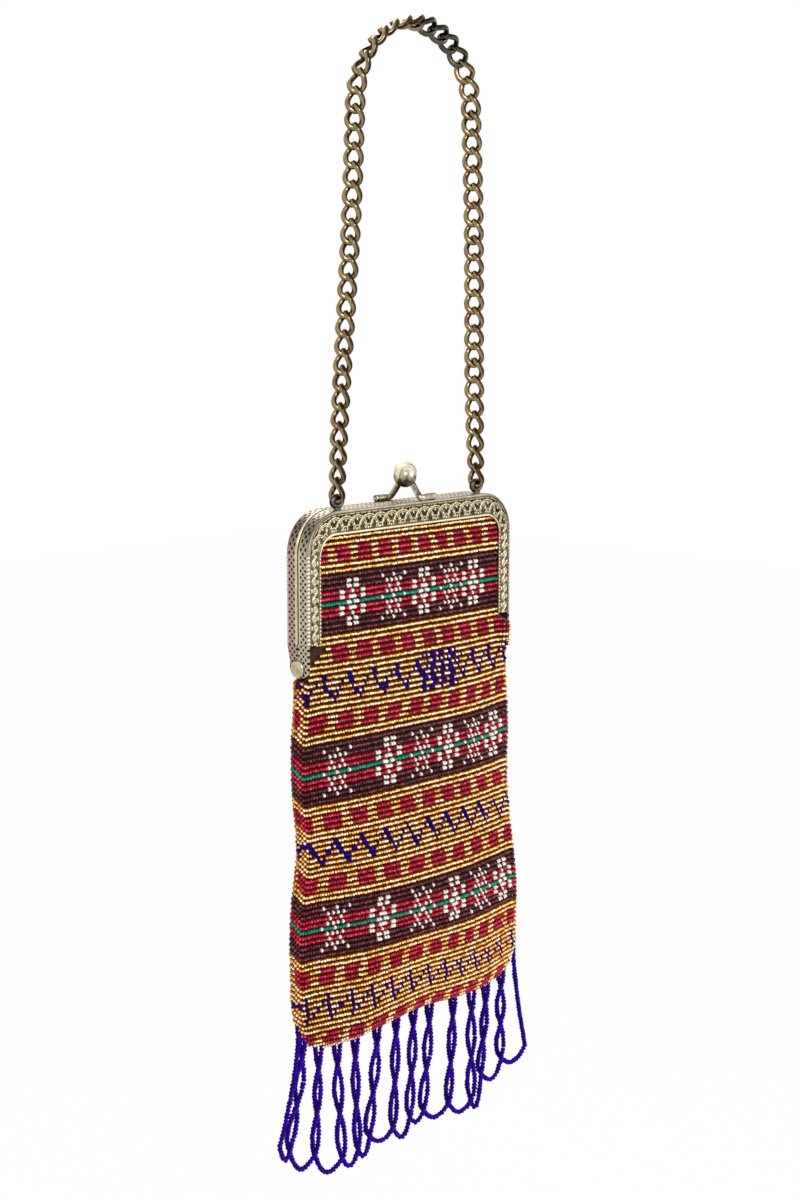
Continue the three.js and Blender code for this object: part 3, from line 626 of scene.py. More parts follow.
def worn_metal_with_painted_sheen(name, low, high, roughness, patch, grain_depth, painted_sheen=0.0, level=0.5, drift=2.0, copper=None):
    """A metal whose tone and polish drift in patches about a level, with fine handling marks. A painted sheen
    puts painted highlights on the cheeks of a wire and painted shade on its inner and outer sides, and copper
    shows in places."""
    finish = Finish(name, {"Metallic": 1.0})
    if copper:
        high = finish.colour(((finish.noise(6) - 0.5) * 5).clamped(), high, copper)
    patina = finish.noise(patch)
    marks = finish.noise(0.35, 5)
    # Painted highlights on the marked cheeks, painted shade on the sides between them.
    cheek = (finish.attribute("cheek") - 0.55) * painted_sheen
    tone = ((patina - 0.5) * drift + level + cheek).clamped()
    finish.set({
        "Base Color": finish.colour(tone, low, high),
        "Roughness": roughness + (patina - 0.5) * 0.2 + (marks - 0.5) * 0.1,
    })
    return finish.bump(marks, grain_depth)


def chain_plating(name, shade_colour, brass, copper):
    """Antique plating on the chain, coppery in places, with painted light: dark brown painted shade on the
    wire's inner and outer sides and brass painted highlights on its cheeks.
    """
    return worn_metal_with_painted_sheen(name, shade_colour, brass, 0.2, 2.5, 0.02, 2.2, 0.29, 1.6, copper)


def woven_cloth(name, low, high, thread):
    """Plain-woven cloth: threads over and under, and slow changes of tone."""
    finish = Finish(name, {"Sheen Weight": 0.25, "Specular IOR Level": 0.2})
    across, down = (finish.node("SeparateXYZ", {}, [finish.place()], axis) for axis in "XZ")
    warp, weft = ((way * (math.pi / (thread * MM))).sine() for way in (across, down))
    weave = warp * weft * 0.5 + 0.5
    drift = finish.noise(9)
    finish.set({
        "Base Color": finish.colour((weave * 0.5 + drift * 0.5).clamped(), low, high),
        "Roughness": 0.8 + weave * 0.12,
    })
    return finish.bump(weave, 0.1)


def rolled_paper():
    finish = Finish("rolled_paper", {"Specular IOR Level": 0.2})
    fibre = finish.noise(0.6, 5)
    finish.set({
        "Base Color": finish.colour(fibre, (168, 146, 104), (216, 198, 158)),
        "Roughness": 0.82 + fibre * 0.12,
    })
    return finish.bump(fibre, 0.1)


front_brass = pressed_brass("front_brass", (36, 27, 14), (240, 224, 184), (204, 190, 168))
rear_brass = pressed_brass("rear_brass", (36, 27, 14), (244, 231, 202), (192, 162, 150))
pearled_brass = pressed_brass("pearled_brass", (92, 78, 52), (244, 234, 210), (222, 205, 182))
polished_brass = worn_metal_with_painted_sheen("polished_brass", (140, 128, 94), (222, 212, 176), 0.2, 3, 0.01)
# The ball, stems, eyes and chain carry a painted sheen: painted highlights on their marked cheeks, painted
# shade between.
ball_brass = worn_metal_with_painted_sheen("ball_brass", (66, 58, 36), (240, 232, 196), 0.14, 2.5, 0.01, 1.5)
gilt_edge = worn_metal_with_painted_sheen("gilt_edge", (196, 180, 130), (232, 222, 180), 0.26, 2, 0.01)
stem_pewter = worn_metal_with_painted_sheen("stem_pewter", (58, 54, 48), (196, 188, 164), 0.2, 3, 0.01, 1.1)
chain_brass = chain_plating("chain_brass", (48, 36, 23), (154, 136, 94), (142, 100, 76))
tarnished_brass = chain_plating("tarnished_brass", (30, 26, 20), (92, 88, 76), (78, 70, 58))
eye_metal = worn_metal_with_painted_sheen("eye_gunmetal", (24, 20, 20), (98, 92, 88), 0.3, 2, 0.02, 1.0)
backing_cloth = woven_cloth("backing_cloth", (36, 18, 10), (62, 32, 16), 0.5)
lining_cloth = woven_cloth("lining_cloth", (74, 46, 30), (106, 70, 46), 0.45)
paper = rolled_paper()


# The two pressed halves of the frame.

def arched_line(half, top, corner, foot, steps):
    """A line in x and z up the left leg, round the corner, over the top and down the right leg."""
    leg, bend, across = steps
    turn = np.linspace(np.pi, np.pi / 2, bend, endpoint=False)
    side = np.linspace(0, 1, leg, endpoint=False)
    middle_x, middle_z = corner - half, -top - corner
    x = [np.full(leg, -half), middle_x + corner * np.cos(turn), np.linspace(middle_x, 0, across + 1)]
    z = [mix(-foot, middle_z, side), middle_z + corner * np.sin(turn), np.full(across + 1, -top)]
    left = np.stack([np.concatenate(x), np.concatenate(z)], axis=1)
    return np.vstack([left, (left * (-1, 1))[-2::-1]])


def band_stations():
    """Stations along the frame's band: its outline and the window's edge in x and z, the way outwards,
    and the distance along the band from its middle."""
    lengths = (LEG_LENGTH - OUTER_CORNER, OUTER_CORNER * CORNER_STRETCH, HALF_WIDTH - OUTER_CORNER)
    steps = [int(round(length / RELIEF_STEP)) for length in lengths]
    outer = arched_line(HALF_WIDTH, 0, OUTER_CORNER, LEG_LENGTH, steps)
    inner = arched_line(HALF_WIDTH - LEG_BAND, TOP_BAND, WINDOW_CORNER, LEG_LENGTH, steps)
    out = arched_line(1, -1, 1, 0, steps)
    run = distances((outer + inner) / 2)
    return outer, inner, out, run - run[-1] / 2


def ridge(distance, half_width, height):
    return height * np.clip(1 - (distance / half_width) ** 2, 0, None)


def dome(distance, radius, height):
    return height * np.sqrt(np.clip(1 - (distance / radius) ** 2, 0, None))


def pearls(run):
    return 0.5 + 0.5 * np.cos(2 * np.pi * run / PEARL_PITCH)


def on_leg(run):
    return np.abs(run) > np.abs(run).max() - LEG_LENGTH + OUTER_CORNER


def pitted(height, a, b, places, size):
    """Presses pits into a height field."""
    for x, z in places:
        height = height - dome(np.hypot(a - x, b - z), *size)
    return height


def vine(run, across):
    """The legs' ornament: a wavy stem with a curl in each bend, a leaf outside it, and pierced dots."""
    bend = np.round(run / VINE_BEND)
    way = np.where(bend % 2 == 0, 1, -1)
    a = run - bend * VINE_BEND
    b = (across - VINE_MIDDLE) * way
    sway, *stem = VINE_STEM
    curl_radius, *curl = VINE_CURL
    curl_distance = np.hypot(a, b - CURL_MIDDLE)
    heights = [
        ridge(b - sway * np.cos(np.pi * run / VINE_BEND) * way, *stem),
        ridge(curl_distance - curl_radius, *curl), dome(curl_distance, *CURL_BUD),
        dome(np.hypot(a / LEAF_STRETCH, b - LEAF_PLACE), *LEAF),
    ]
    return pitted(reduce(np.maximum, heights, 0 * a), a, b, VINE_PITS, VINE_PIT)


def ornament(run, b):
    """The pressed ornament's height along the band and across it, from the window's edge: interlaced
    double arches with a ring and buds in each, and pierced dots; and a vine on the legs."""
    a = np.abs((run / ARCH_PITCH + 0.5) % 1 - 0.5) * ARCH_PITCH
    arch, beside = (np.hypot(x, b - ARCH_FOOT) for x in (a, ARCH_PITCH - a))
    lines = [(arch, ARCH_RING)] + [(ring, line) for ring in (arch, beside) for line in ARCH_RIDGES]
    heights = [ridge(ring - radius, *size) * (b > ARCH_START) for ring, (radius, *size) in lines]
    heights += [dome(np.hypot(a - x, b - z), *size) for x, z, *size in ARCH_BUDS]
    line, *size = OUTER_LINE
    heights.append(ridge(b - line, *size))
    grain = 2 * np.pi / GROUND_GRAIN
    ground = GROUND_HEIGHT * np.sin(grain * run) * np.sin(grain * b)
    pressed = pitted(reduce(np.maximum, heights, ground), a, b, ARCH_PITS, ARCH_PIT)
    leg = on_leg(run)
    rim = ridge(b - RIM_WIDTH / 2, RIM_WIDTH / 2, RIM_HEIGHT) * np.where(leg, pearls(run), 1)
    return np.where(b < RIM_WIDTH, rim, np.where(leg, vine(run, b), pressed))


def channel(shape, side):
    """One half's arched channel: a pressed face, a pearled edge, a milled wall and an inner lip."""
    outer, inner, out, run = band_stations()
    leg = on_leg(run)
    face = np.linspace(0, FACE_SHARE, FACE_STEPS)
    height = ornament(run[:, None], face[None, :] * TOP_BAND)
    face_xz = mix(inner[:, None], outer[:, None], face[None, :, None])
    band = np.linalg.norm(outer - inner, axis=1)
    face_depth = FACE_DEPTH - FACE_SINK + height * np.sqrt(band / TOP_BAND)[:, None]
    turn = np.linspace(0, np.pi / 2, EDGE_STEPS)
    wall = np.linspace(FACE_DEPTH - EDGE_ROUND, PARTING, WALL_STEPS + 1)[1:]
    gilt = ridge(wall - PARTING - GILT_WIDTH, GILT_WIDTH, GILT_HEIGHT) * (side == BACK)
    lip_offsets = [INNER_LIP, INNER_LIP, SHEET, SHEET, EDGE_ROUND + SHEET]
    lip_depths = [PARTING, PARTING + SHEET, PARTING + SHEET, FACE_DEPTH - SHEET, FACE_DEPTH - SHEET]
    offsets = np.concatenate([EDGE_ROUND * (1 - np.sin(turn)), -gilt, lip_offsets])
    depths = np.concatenate([FACE_DEPTH - EDGE_ROUND * (1 - np.cos(turn)), wall, lip_depths])
    pearl = np.where(leg, pearls(run), PLAIN_EDGE)
    swell = np.zeros(len(depths))
    swell[:EDGE_STEPS] = np.sin(2 * turn)
    beads = PEARL_HEIGHT * pearl[:, None] * swell
    rim_xz = outer[:, None] - out[:, None] * (offsets - beads)[..., None]
    back_depth = np.full((len(run), 1), FACE_DEPTH - SHEET - FACE_SINK)
    xz = np.concatenate([face_xz, rim_xz, inner[:, None]], axis=1)
    depth = np.concatenate([face_depth, depths + beads, back_depth], axis=1)
    points = np.stack([xz[..., 0], -depth, xz[..., 1]], axis=-1)
    stations, sides = depth.shape
    edge_end = FACE_STEPS + EDGE_STEPS
    wall_end = edge_end + WALL_STEPS
    on_wall = np.zeros(sides)
    on_wall[edge_end:wall_end - GILT_STEPS] = 1
    # Painted shade: the wall and lip darker on the top and round the bends, and the edge darker round the
    # bends; the face's tone follows its pressed heights.
    bent = 2 * np.abs(out[:, 0] * out[:, 1])
    wear_and_shade = np.tile(WALL_WEAR - TOP_SHADE * out[:, 1] - BEND_SHADE * bent, (sides, 1)).T
    wear_and_shade[:, :FACE_STEPS] = np.clip(GROUND_WEAR + LEG_WEAR * leg[:, None] + height / FULL_RELIEF, 0, 1)
    wear_and_shade[:, FACE_STEPS:edge_end] = (EDGE_WEAR + PEARL_WEAR * pearl - EDGE_SHADE * bent)[:, None]
    strips = np.zeros(sides, int)
    strips[FACE_STEPS:edge_end - 1] = 2
    # On the front half a painted shadow line darkens the wall beside the parting; the back has its gilt strip
    # instead.
    if side == FRONT:
        wear_and_shade[:, wall_end - PARTING_SHADOW_STEPS:wall_end] = 0
    else:
        strips[wall_end - GILT_STEPS:wall_end - 1] = 1
    marks = {
        "wear_and_shade": wear_and_shade, "run": np.broadcast_to(run[:, None], depth.shape), "across": depth,
        "wall": np.broadcast_to(on_wall, depth.shape), "cheek": np.ones(depth.shape),
    }
    faces = [grid_faces(stations, sides)[:, ::-1], end_faces(stations, sides)[:, ::-1]]
    shape.add(points, faces, [np.tile(strips, stations - 1), np.zeros(2, int)], marks)


def plate(shape, outline, x_low, x_high):
    """A flat plate of an outline in depth and height, between two widths."""
    points = np.array([(x, -depth, z) for x in (x_low, x_high) for depth, z in outline])
    marks = {"wear_and_shade": np.full(len(points), WALL_WEAR), "run": points[:, 2], "across": points[:, 1],
             "wall": np.ones(len(points))}
    shape.add(points, [grid_faces(2, len(outline)), end_faces(2, len(outline))], marks=marks)


def hinge_arc(wide, tall, start, end):
    """Points round the hinge in depth and height, from one angle to another in degrees."""
    turn = np.radians(np.linspace(start, end, EAR_STEPS))
    return [(wide * math.cos(t), HINGE_Z + tall * math.sin(t)) for t in turn]


def ear_outline(front):
    """A half's ear: straight down in front and round below the rivet, or it stops short of the rivet."""
    reach = FACE_DEPTH - (FRONT_EAR_INSET if front else BACK_EAR_INSET)
    foot = [(PARTING, -LEG_LENGTH), (reach, -LEG_LENGTH)]
    if not front:
        return foot + hinge_arc(EAR_RADIUS + EAR_GAP, EAR_RADIUS + EAR_GAP, *BACK_EAR_ARC)
    below_rivet = hinge_arc(reach, EAR_RADIUS, 0, -90) + hinge_arc(EAR_RADIUS, EAR_RADIUS, -90, -180)[1:]
    return foot + below_rivet + [(-EAR_RADIUS, HINGE_Z + EAR_SHOULDER), (-PARTING, HINGE_Z + EAR_RADIUS)]


def frame_half(word, side):
    shape = Shape()
    channel(shape, side)
    for x in (-1, 1):
        near, far = sorted((x * (HALF_WIDTH - SHEET), x * HALF_WIDTH))
        plate(shape, ear_outline(side == FRONT), near, far)
        if side == BACK:
            step = x * (SHEET + EAR_GAP)
            plate(shape, ear_outline(True), near - step, far - step)
    brass = front_brass if side == FRONT else rear_brass
    made = shape.piece(f"{word}_half_brass", [brass, gilt_edge, pearled_brass], side)
    for polygon in made.data.polygons:
        polygon.use_smooth = len(polygon.vertices) == 4 and polygon.area < FLAT_FACE
    fit(made, f"{word}_frame", HALF_BODIES[side])


def hinge_rivet(word, x):
    shape = Shape()
    profile = [(RIVET_TAIL, 0), (RIVET_TAIL, RIVET_TAIL_HEIGHT), (RIVET_SHANK, RIVET_TAIL_HEIGHT),
               (RIVET_SHANK, RIVET_LENGTH)]
    for turn in np.linspace(0, np.pi / 2, RIVET_STEPS):
        radius = mix(RIVET_CROWN, RIVET_HEAD, math.cos(turn) ** RIVET_ROUNDING)
        profile.append((radius, RIVET_LENGTH + RIVET_DOME * math.sin(turn)))
    turned(shape, profile, (x * (HALF_WIDTH - RIVET_INSET), 0, HINGE_Z), (x, 0, 0), RIVET_SIDES)
    made = shape.piece(f"{word}_rivet", [polished_brass])
    fit(made, f"{word}_hinge_rivet", "front_half")


# The clasp.

def stem_curve():
    """The front stem's line: a foot on the frame's top edge, then up across to the rear side's ball."""
    foot = np.array([STEM_FOOT_OUTER, STEM_INSET - FACE_DEPTH, STEM_RADIUS])
    elbow = np.array([STEM_FOOT_INNER, *foot[1:]])
    ball = np.array([BALL_RADIUS + FIT_GAP / 2, BALL_OVERHANG, BALL_HEIGHT])
    points = [foot, (foot + elbow) / 2, elbow]
    for share in (0.3, 0.6, 0.9):
        point = mix(elbow, ball, share)
        point[2] = mix(elbow[2], BALL_HEIGHT, mix(share, smooth(share), STEM_BOW))
        points.append(point)
    return through(points, STEM_STEPS), ball


def beside_middle(points):
    return points + (CLASP_SHIFT, 0, 0)


def clasp(word, side):
    line, ball = stem_curve()
    path = np.vstack([line[0] - (BORE_DEPTH, 0, 0), line[0], line])
    along = np.vstack([(-1, 0, 0), (-1, 0, 0), np.gradient(line, axis=0)])
    shape = Shape()
    radii = [STEM_BORE] * 2 + [STEM_RADIUS] * len(line)
    wire(shape, path, (0, 0, 1), radii, STEM_SIDES, along=along)
    stem = shape.piece(f"{word}_stem", [stem_pewter], side, beside_middle)
    fit(stem, f"{word}_clasp_stem", HALF_BODIES[side])
    shape = Shape()
    turn = np.linspace(BALL_POLE - math.pi / 2, math.pi / 2 - BALL_POLE, BALL_STEPS)
    profile = BALL_RADIUS * np.stack([np.cos(turn), np.sin(turn)], axis=1)
    # The ball is marked from 0 at its foot to 1 at its top: a painted highlight on top, painted shade below.
    turned(shape, profile, ball, (0, 0, 1), BALL_SIDES, bright=0.5 + 0.5 * np.sin(turn))
    knob = shape.piece(f"{word}_ball", [ball_brass], side, beside_middle)
    fit(knob, f"{word}_clasp_ball", HALF_BODIES[side])


# The chain and its eyes.

eye_low, eye_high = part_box("right_chain_eye")
EYE_X = (eye_low.x + eye_high.x) / 2 / MM
EYE_Y, PIVOT_Z = (swing_place - BAG_ORIGIN)[1:] / MM
ARCH_Z = -BAG_ORIGIN[2] / MM - ARCH_RADIUS


def chain_eye(word, side):
    shape = Shape()
    low = FIT_GAP + EYE_FOOT_HEIGHT
    half = (PIVOT_Z - low) / 2
    turn = 2 * np.pi * np.arange(EYE_STEPS) / EYE_STEPS
    out = np.stack([np.cos(turn), 0 * turn, np.sin(turn)], axis=1)
    path = np.array([side * EYE_X, EYE_Y, low + half]) + out * np.array([EYE_HALF_WIDTH, 0, half])
    wire(shape, path[::-1], out[::-1], EYE_THICKNESS, EYE_SIDES, ring=True)
    profile = [(EYE_FOOT_RADIUS, 0), (EYE_FOOT_RADIUS, EYE_FOOT_EDGE), (EYE_NECK_RADIUS, EYE_FOOT_HEIGHT)]
    turned(shape, profile, (side * EYE_X, EYE_Y, FIT_GAP), (0, 0, 1), EYE_FOOT_SIDES)
    fit(shape.piece(f"{word}_eye", [eye_metal]), f"{word}_chain_eye", "front_half")


class Handle:
    """The handle's centre line: two straight strands from the eyes and an arch between them."""

    def __init__(self):
        rise = ARCH_Z - PIVOT_Z
        self.tangent = math.acos(ARCH_RADIUS / math.hypot(EYE_X, rise)) + math.atan2(-rise, EYE_X)
        self.eye = np.array([-EYE_X, EYE_Y, PIVOT_Z])
        strand = self.on_arch(math.pi - self.tangent) - self.eye
        self.straight = np.linalg.norm(strand)
        self.lean = strand / self.straight
        self.length = 2 * self.straight + ARCH_RADIUS * (math.pi - 2 * self.tangent)

    def on_arch(self, turn):
        return np.array([ARCH_RADIUS * math.cos(turn), EYE_Y, ARCH_Z + ARCH_RADIUS * math.sin(turn)])

    def at(self, distance):
        """The place on the line and its direction, at a distance from the left eye."""
        left = self.length - distance
        if left < self.straight:
            place, along = self.at(left)
            return place * (-1, 1, 1), along * (1, 1, -1)
        if distance < self.straight:
            return self.eye + self.lean * distance, self.lean
        turn = math.pi - self.tangent - (distance - self.straight) / ARCH_RADIUS
        return self.on_arch(turn), np.array([math.sin(turn), 0, -math.cos(turn)])


handle = Handle()


def chain_link(shape, distance, half_length):
    """One curb link: an oval of wire twisted a quarter turn from end to end."""
    place, along = handle.at(distance)
    across = np.array([0.0, 1, 0])
    out = np.cross(along, across)
    share = distance / handle.length
    roll = math.radians(np.interp(share, CHAIN_ROLL_SHARES, CHAIN_ROLL_DEGREES))
    turn = (2 * np.pi * np.arange(LINK_STEPS) / LINK_STEPS)[:, None]
    angle = roll + LINK_TWIST * np.sin(turn)
    wide = np.cos(angle) * out + np.sin(angle) * across
    path = place + half_length * np.sin(turn) * along + (LINK_WIDTH / 2 - LINK_WIRE) * np.cos(turn) * wide
    wire(shape, path, np.sin(turn) * along + np.cos(turn) * wide, LINK_FULLNESS * LINK_WIRE, LINK_SIDES,
         ring=True, finish=int(TARNISHED[0] < share < TARNISHED[1]))


def leaning(points):
    """The slack handle tips a little to the right as it rises from its eyes."""
    lean = HANDLE_LEAN * smooth((points[:, 2] - LEAN_START) / LEAN_HEIGHT)
    return points + np.stack([lean, 0 * lean, 0 * lean], axis=1)


def chain():
    hang = EYE_WIRE + LINK_WIRE + FIT_GAP
    slack = LINK_WELD + FIT_GAP
    links = sum(count for _, count in CHAIN_RUNS)
    pitch = (handle.length - 2 * LINK_WIRE + LINK_WELD + 2 * hang + (len(CHAIN_RUNS) - 1) * slack) / links
    half_length = (pitch + 2 * LINK_WIRE - LINK_WELD) / 2
    distance = half_length - hang
    for node, count in CHAIN_RUNS:
        shape = Shape()
        for _ in range(count):
            chain_link(shape, distance, half_length)
            distance += pitch
        distance -= slack
        made = shape.piece(node.replace("chain", "links"), [chain_brass, tarnished_brass], FRONT, leaning)
        fit(made, node, "chain")


# The beaded cloth.

def row_height(row):
    return -TOP_BAND - (row + 0.5) * ROW_PITCH


def pouch_half_width(z):
    swell = BAND_SWELL * np.cos(2 * np.pi * (z - row_height(FIRST_GREEN_ROW)) / (BAND_ROWS * ROW_PITCH))
    half = POUCH_TOP_HALF + below(z, *HIPS_BEGIN) * (HIP + swell)
    half += LOWER_SWELL * below(z, *LOWER_SWELLS)
    height = max(z - POUCH_BOTTOM, 0)
    if height < BOTTOM_CORNER:
        half -= BOTTOM_CORNER - math.sqrt(BOTTOM_CORNER ** 2 - (BOTTOM_CORNER - height) ** 2)
    return half


# How far the rows have settled: the heights where that is given, from the bottom up, and for the lower two
# the places across, as shares of the half width, and the shifts there.
SETTLE_HEIGHTS = [POUCH_BOTTOM, -163.8, -100, -50, -12]
BOTTOM_PLACES = [-1, -0.5, -0.33, -0.1, 0.07, 0.25, 0.45, 0.65, 0.8, 1]
BOTTOM_SHIFTS = [-5.4, -5.4, -3.1, -0.3, 0.8, 0.2, -0.25, -0.5, 0.6, 2]
LOWER_PLACES, LOWER_SHIFTS = [-1, 0.45, 1], [-3.2, -4.795, -3.75]
UPPER_SHIFT, UPPER_SLOPE, UPPER_CURL = -2.7, 0.9, 6
HINGE_SHIFT = -0.6
RIPPLE, RIPPLE_ACROSS, RIPPLE_DOWN = 0.3, 17, 23
BACK_LEFT = (-0.55, 0.4)


def settle(x, z, side=FRONT):
    """How far the cloth has shifted up from straight rows: it has stretched, more so to the left, and
    the back's left edge has stayed higher."""
    across = np.clip(x / POUCH_BELLY_HALF, -1, 1)
    low = np.interp(across, BOTTOM_PLACES, BOTTOM_SHIFTS)
    middle = np.interp(across, LOWER_PLACES, LOWER_SHIFTS)
    upper = UPPER_SHIFT + UPPER_SLOPE * np.minimum(across, 0) + np.maximum(across, 0) ** UPPER_CURL
    levels = [low, middle, upper, HINGE_SHIFT, 0]
    shares = [np.interp(z, SETTLE_HEIGHTS, level) for level in np.eye(len(levels))]
    ripple = RIPPLE * np.sin(x / RIPPLE_ACROSS + z / RIPPLE_DOWN) * below(z, *RIPPLES_BEGIN)
    shift = sum(share * level for share, level in zip(shares, levels)) + ripple
    if side == BACK:
        loose = below(z, *BACK_LOOSENS) * below(POUCH_BOTTOM, z, SEAM_FADE)
        shift = shift + 2 * SIDE_LIFT * loose * below(across, *BACK_LEFT)
    return shift


def hang(points):
    """Where the pouch's points hang: lower down it leans to the right and turns a little to the front."""
    x, y, z = points.T
    lean = mix(UPPER_LEAN, POUCH_LEAN, below(z, *LEAN_GROWS)) * below(z, *LEAN_BEGINS)
    turn = POUCH_TURN * below(z, *TURN_GROWS)
    right, ahead = np.cos(turn), np.sin(turn)
    return np.stack([x * right + y * ahead + lean, y * right - x * ahead, z], axis=1)


def skin_section(z, side, inset=0.0, margin=0.0):
    """One side's cloth at a height: points from its left edge to its right edge, bead middles where
    inset is 0. Margin widens the part that shows no beads."""
    loose = below(z, *LOOSENS)
    height = max(z - POUCH_BOTTOM, 0)
    shut = math.sqrt(max(1 - (1 - min(height / BOTTOM_ROUND, 1)) ** 2, LEAST_OPEN))
    edge_depth = mix(WINDOW_EDGE_DEPTH, EDGE_DEPTH, loose) * shut
    bulge = mix(WINDOW_BULGE * below(z, *WINDOW_FILLS), BULGE, loose) * shut
    half = pouch_half_width(z)
    wrap = below(z, *WRAP_BEGINS)
    free = below(z, *LEG_ENDS)
    front = mix(WINDOW_HALF, half - mix(EAR_CLEARANCE, SIDE_ROUND, wrap), free) + margin
    tuck = free * (1 - wrap) * (side == FRONT)
    x = np.linspace(-front, front + TUCK_WIDTH * tuck, SECTION_POINTS)
    depth = edge_depth + bulge * np.clip(1 - (x / front) ** 2, 0, None)
    depth = depth + TUCK_DEPTH * tuck * smooth((x - front + TUCK_SPAN) / TUCK_SPAN)
    rise = -SIDE_DIP * wrap * np.exp(-((np.abs(x) - front) / DIP_WIDTH) ** 2)
    if wrap > LEAST_WRAP:
        turn = np.linspace(0, wrap * math.pi / 2, SIDE_POINTS)[1:]
        side_x = front + (half - front) * np.sin(turn)
        side_depth = edge_depth * np.cos(turn)
        climb = wrap * SIDE_LIFT * smooth(turn / (math.pi / 2))
        dip = -SIDE_DIP * wrap * np.cos(turn)
        left, right = (climb, 0) if side == FRONT else (0, -climb)
        x = np.concatenate([-side_x[::-1], x, side_x])
        depth = np.concatenate([side_depth[::-1], depth, side_depth])
        rise = np.concatenate([(dip + left)[::-1], rise, dip + right])
    settled = z + rise * min(1, height / SEAM_FADE) + settle(x * side, z, side)
    points = np.stack([x, -depth, settled], axis=1)
    along = np.gradient(points[:, :2], axis=0)
    points[:, :2] -= inset * unit(np.stack([along[:, 1], -along[:, 0]], axis=1))
    return points


def spaced(points, count, edge=0.5):
    """So many even places along a line of points: their places, directions and distances."""
    run = distances(points)
    at = (np.arange(count) + edge) / (count - 1 + 2 * edge) * run[-1]
    places, ahead, behind = (
        np.stack([np.interp(at + step, run, line) for line in points.T], axis=1)
        for step in (0, TANGENT_STEP, -TANGENT_STEP))
    return places, unit(ahead - behind), at - run[-1] / 2


# The bead pattern: folk stripes of flowers and stars, blocks and zigzags.

FLOWER = {4: (1, 2), 3: (1, 2), 2: (0, 4, 5), 1: (0, 1, 4, 5), 0: (1, 2)}
STAR = {4: (0, 5), 3: (1, 3), 2: (2,), 1: (1, 3), 0: (0, 5)}
FRONT_MOTIFS = [
    ([-33.4, -11.5, 6.4, 22.4, 36.4], [FLOWER, STAR]),
    ([-43.6, -18.1, 1, 17.3, 35.6, 50.2], [STAR, FLOWER]),
    ([-45.5, -21.9, -0.5, 18.9, 36, 52.8], [STAR, FLOWER]),
]
BACK_MOTIFS = [
    ([-40, -20, 0, 20, 40], [FLOWER, STAR]),
    ([-50, -30, -10, 10, 30, 50], [STAR, FLOWER]),
    ([-50, -30, -10, 10, 30, 50], [STAR, FLOWER]),
]
# Red blocks: their period and one block's middle, for each group of rows, and where the first block begins if
# not at the edge.
BLOCKS = [(11.1, 6.5), (12, 7.3), (12, 9.3), (12.4, 4.3), (13.3, 9.5), (10.9, 7.7), (10.9, -1.3)]
BLOCK_SHARE = 0.64
BLOCK_STRAY = 0.6
BLOCKS_BEGIN = {1: -47}
# Zigzags: their period, where a stroke starts, how many beads it falls aside, and how many it is wide.
ZIGZAGS = [(11.9, -3.8, 5.7, 1.7), (11.8, 1.8, 4.3, 1.6), (9.9, 2.6, 0.6, 1.0)]
ZIGZAG_ROWS = 5
THIN_STROKE = 1
# The first zigzag's crowded part: from where to where, and its rows.
CLUSTER = (1.3, 24.8)
CLUSTER_ROWS = range(-1, 6)
CLUSTER_PERIOD = 4.6
CLUSTER_SLANT, CLUSTER_STROKE, CLUSTER_CHECKS = 0.2, 1.8, 3.6
STRETCH = 0.0008


def row_plan():
    """What each row of beads shows, from the frame's top edge down: its kind, its number there, and the
    number of that band, zigzag or group of blocks."""
    plan = [("gold", 0, 0)] * 2 + [("blocks", k, 0) for k in range(3)] + [("gold", 0, 0)] * 2
    for number in range(3):
        plan += [("band", k - 5, number) for k in range(11)] + [("gold", 0, 0)] * 2
        plan += [("blocks", k, 2 * number + 1) for k in range(3)]
        plan += [("zigzag", k - 2, number) for k in range(9)]
        plan += [("blocks", k, 2 * number + 2) for k in range(3)] + [("gold", 0, 0)] * 2
    return plan[:ROW_COUNT]


def band_colours(row, columns, motifs):
    """A broad band: brown, red and green rows with white flowers and stars in turn."""
    base = GREEN if row == 0 else RED if abs(row) <= 2 else BROWN
    colours = np.full(len(columns), base)
    places, kinds = motifs
    for number, place in enumerate(places):
        off = np.abs(np.round(columns - place / BEAD_PITCH)).astype(int)
        whites = kinds[number % 2].get(abs(row), ())
        colours[np.isin(off, whites)] = WHITE
    return colours


def zigzag_colours(row, columns, place, number, side):
    """Gold with a violet zigzag: a thick falling stroke and a thin rising one."""
    colours = np.full(len(columns), GOLD)
    crowded = np.zeros(len(columns), bool)
    if number == 0 and side == FRONT and row in CLUSTER_ROWS:
        crowded = (place > CLUSTER[0]) & (place < CLUSTER[1])
        strokes = (columns - CLUSTER_SLANT * row) % CLUSTER_PERIOD < CLUSTER_STROKE
        checks = ((columns + row) % 2 == 0) & (columns % CLUSTER_PERIOD < CLUSTER_CHECKS)
        colours[crowded & (strokes | checks)] = VIOLET
    if 0 <= row < ZIGZAG_ROWS:
        period, top, fall, width = ZIGZAGS[number]
        period = period / BEAD_PITCH
        phase = (place - top) / BEAD_PITCH
        share = row / (ZIGZAG_ROWS - 1)
        falling = (phase - fall * share) % period < width
        rising = (phase + (period - fall) * share) % period < THIN_STROKE
        colours[(falling | rising) & ~crowded] = VIOLET
    return colours


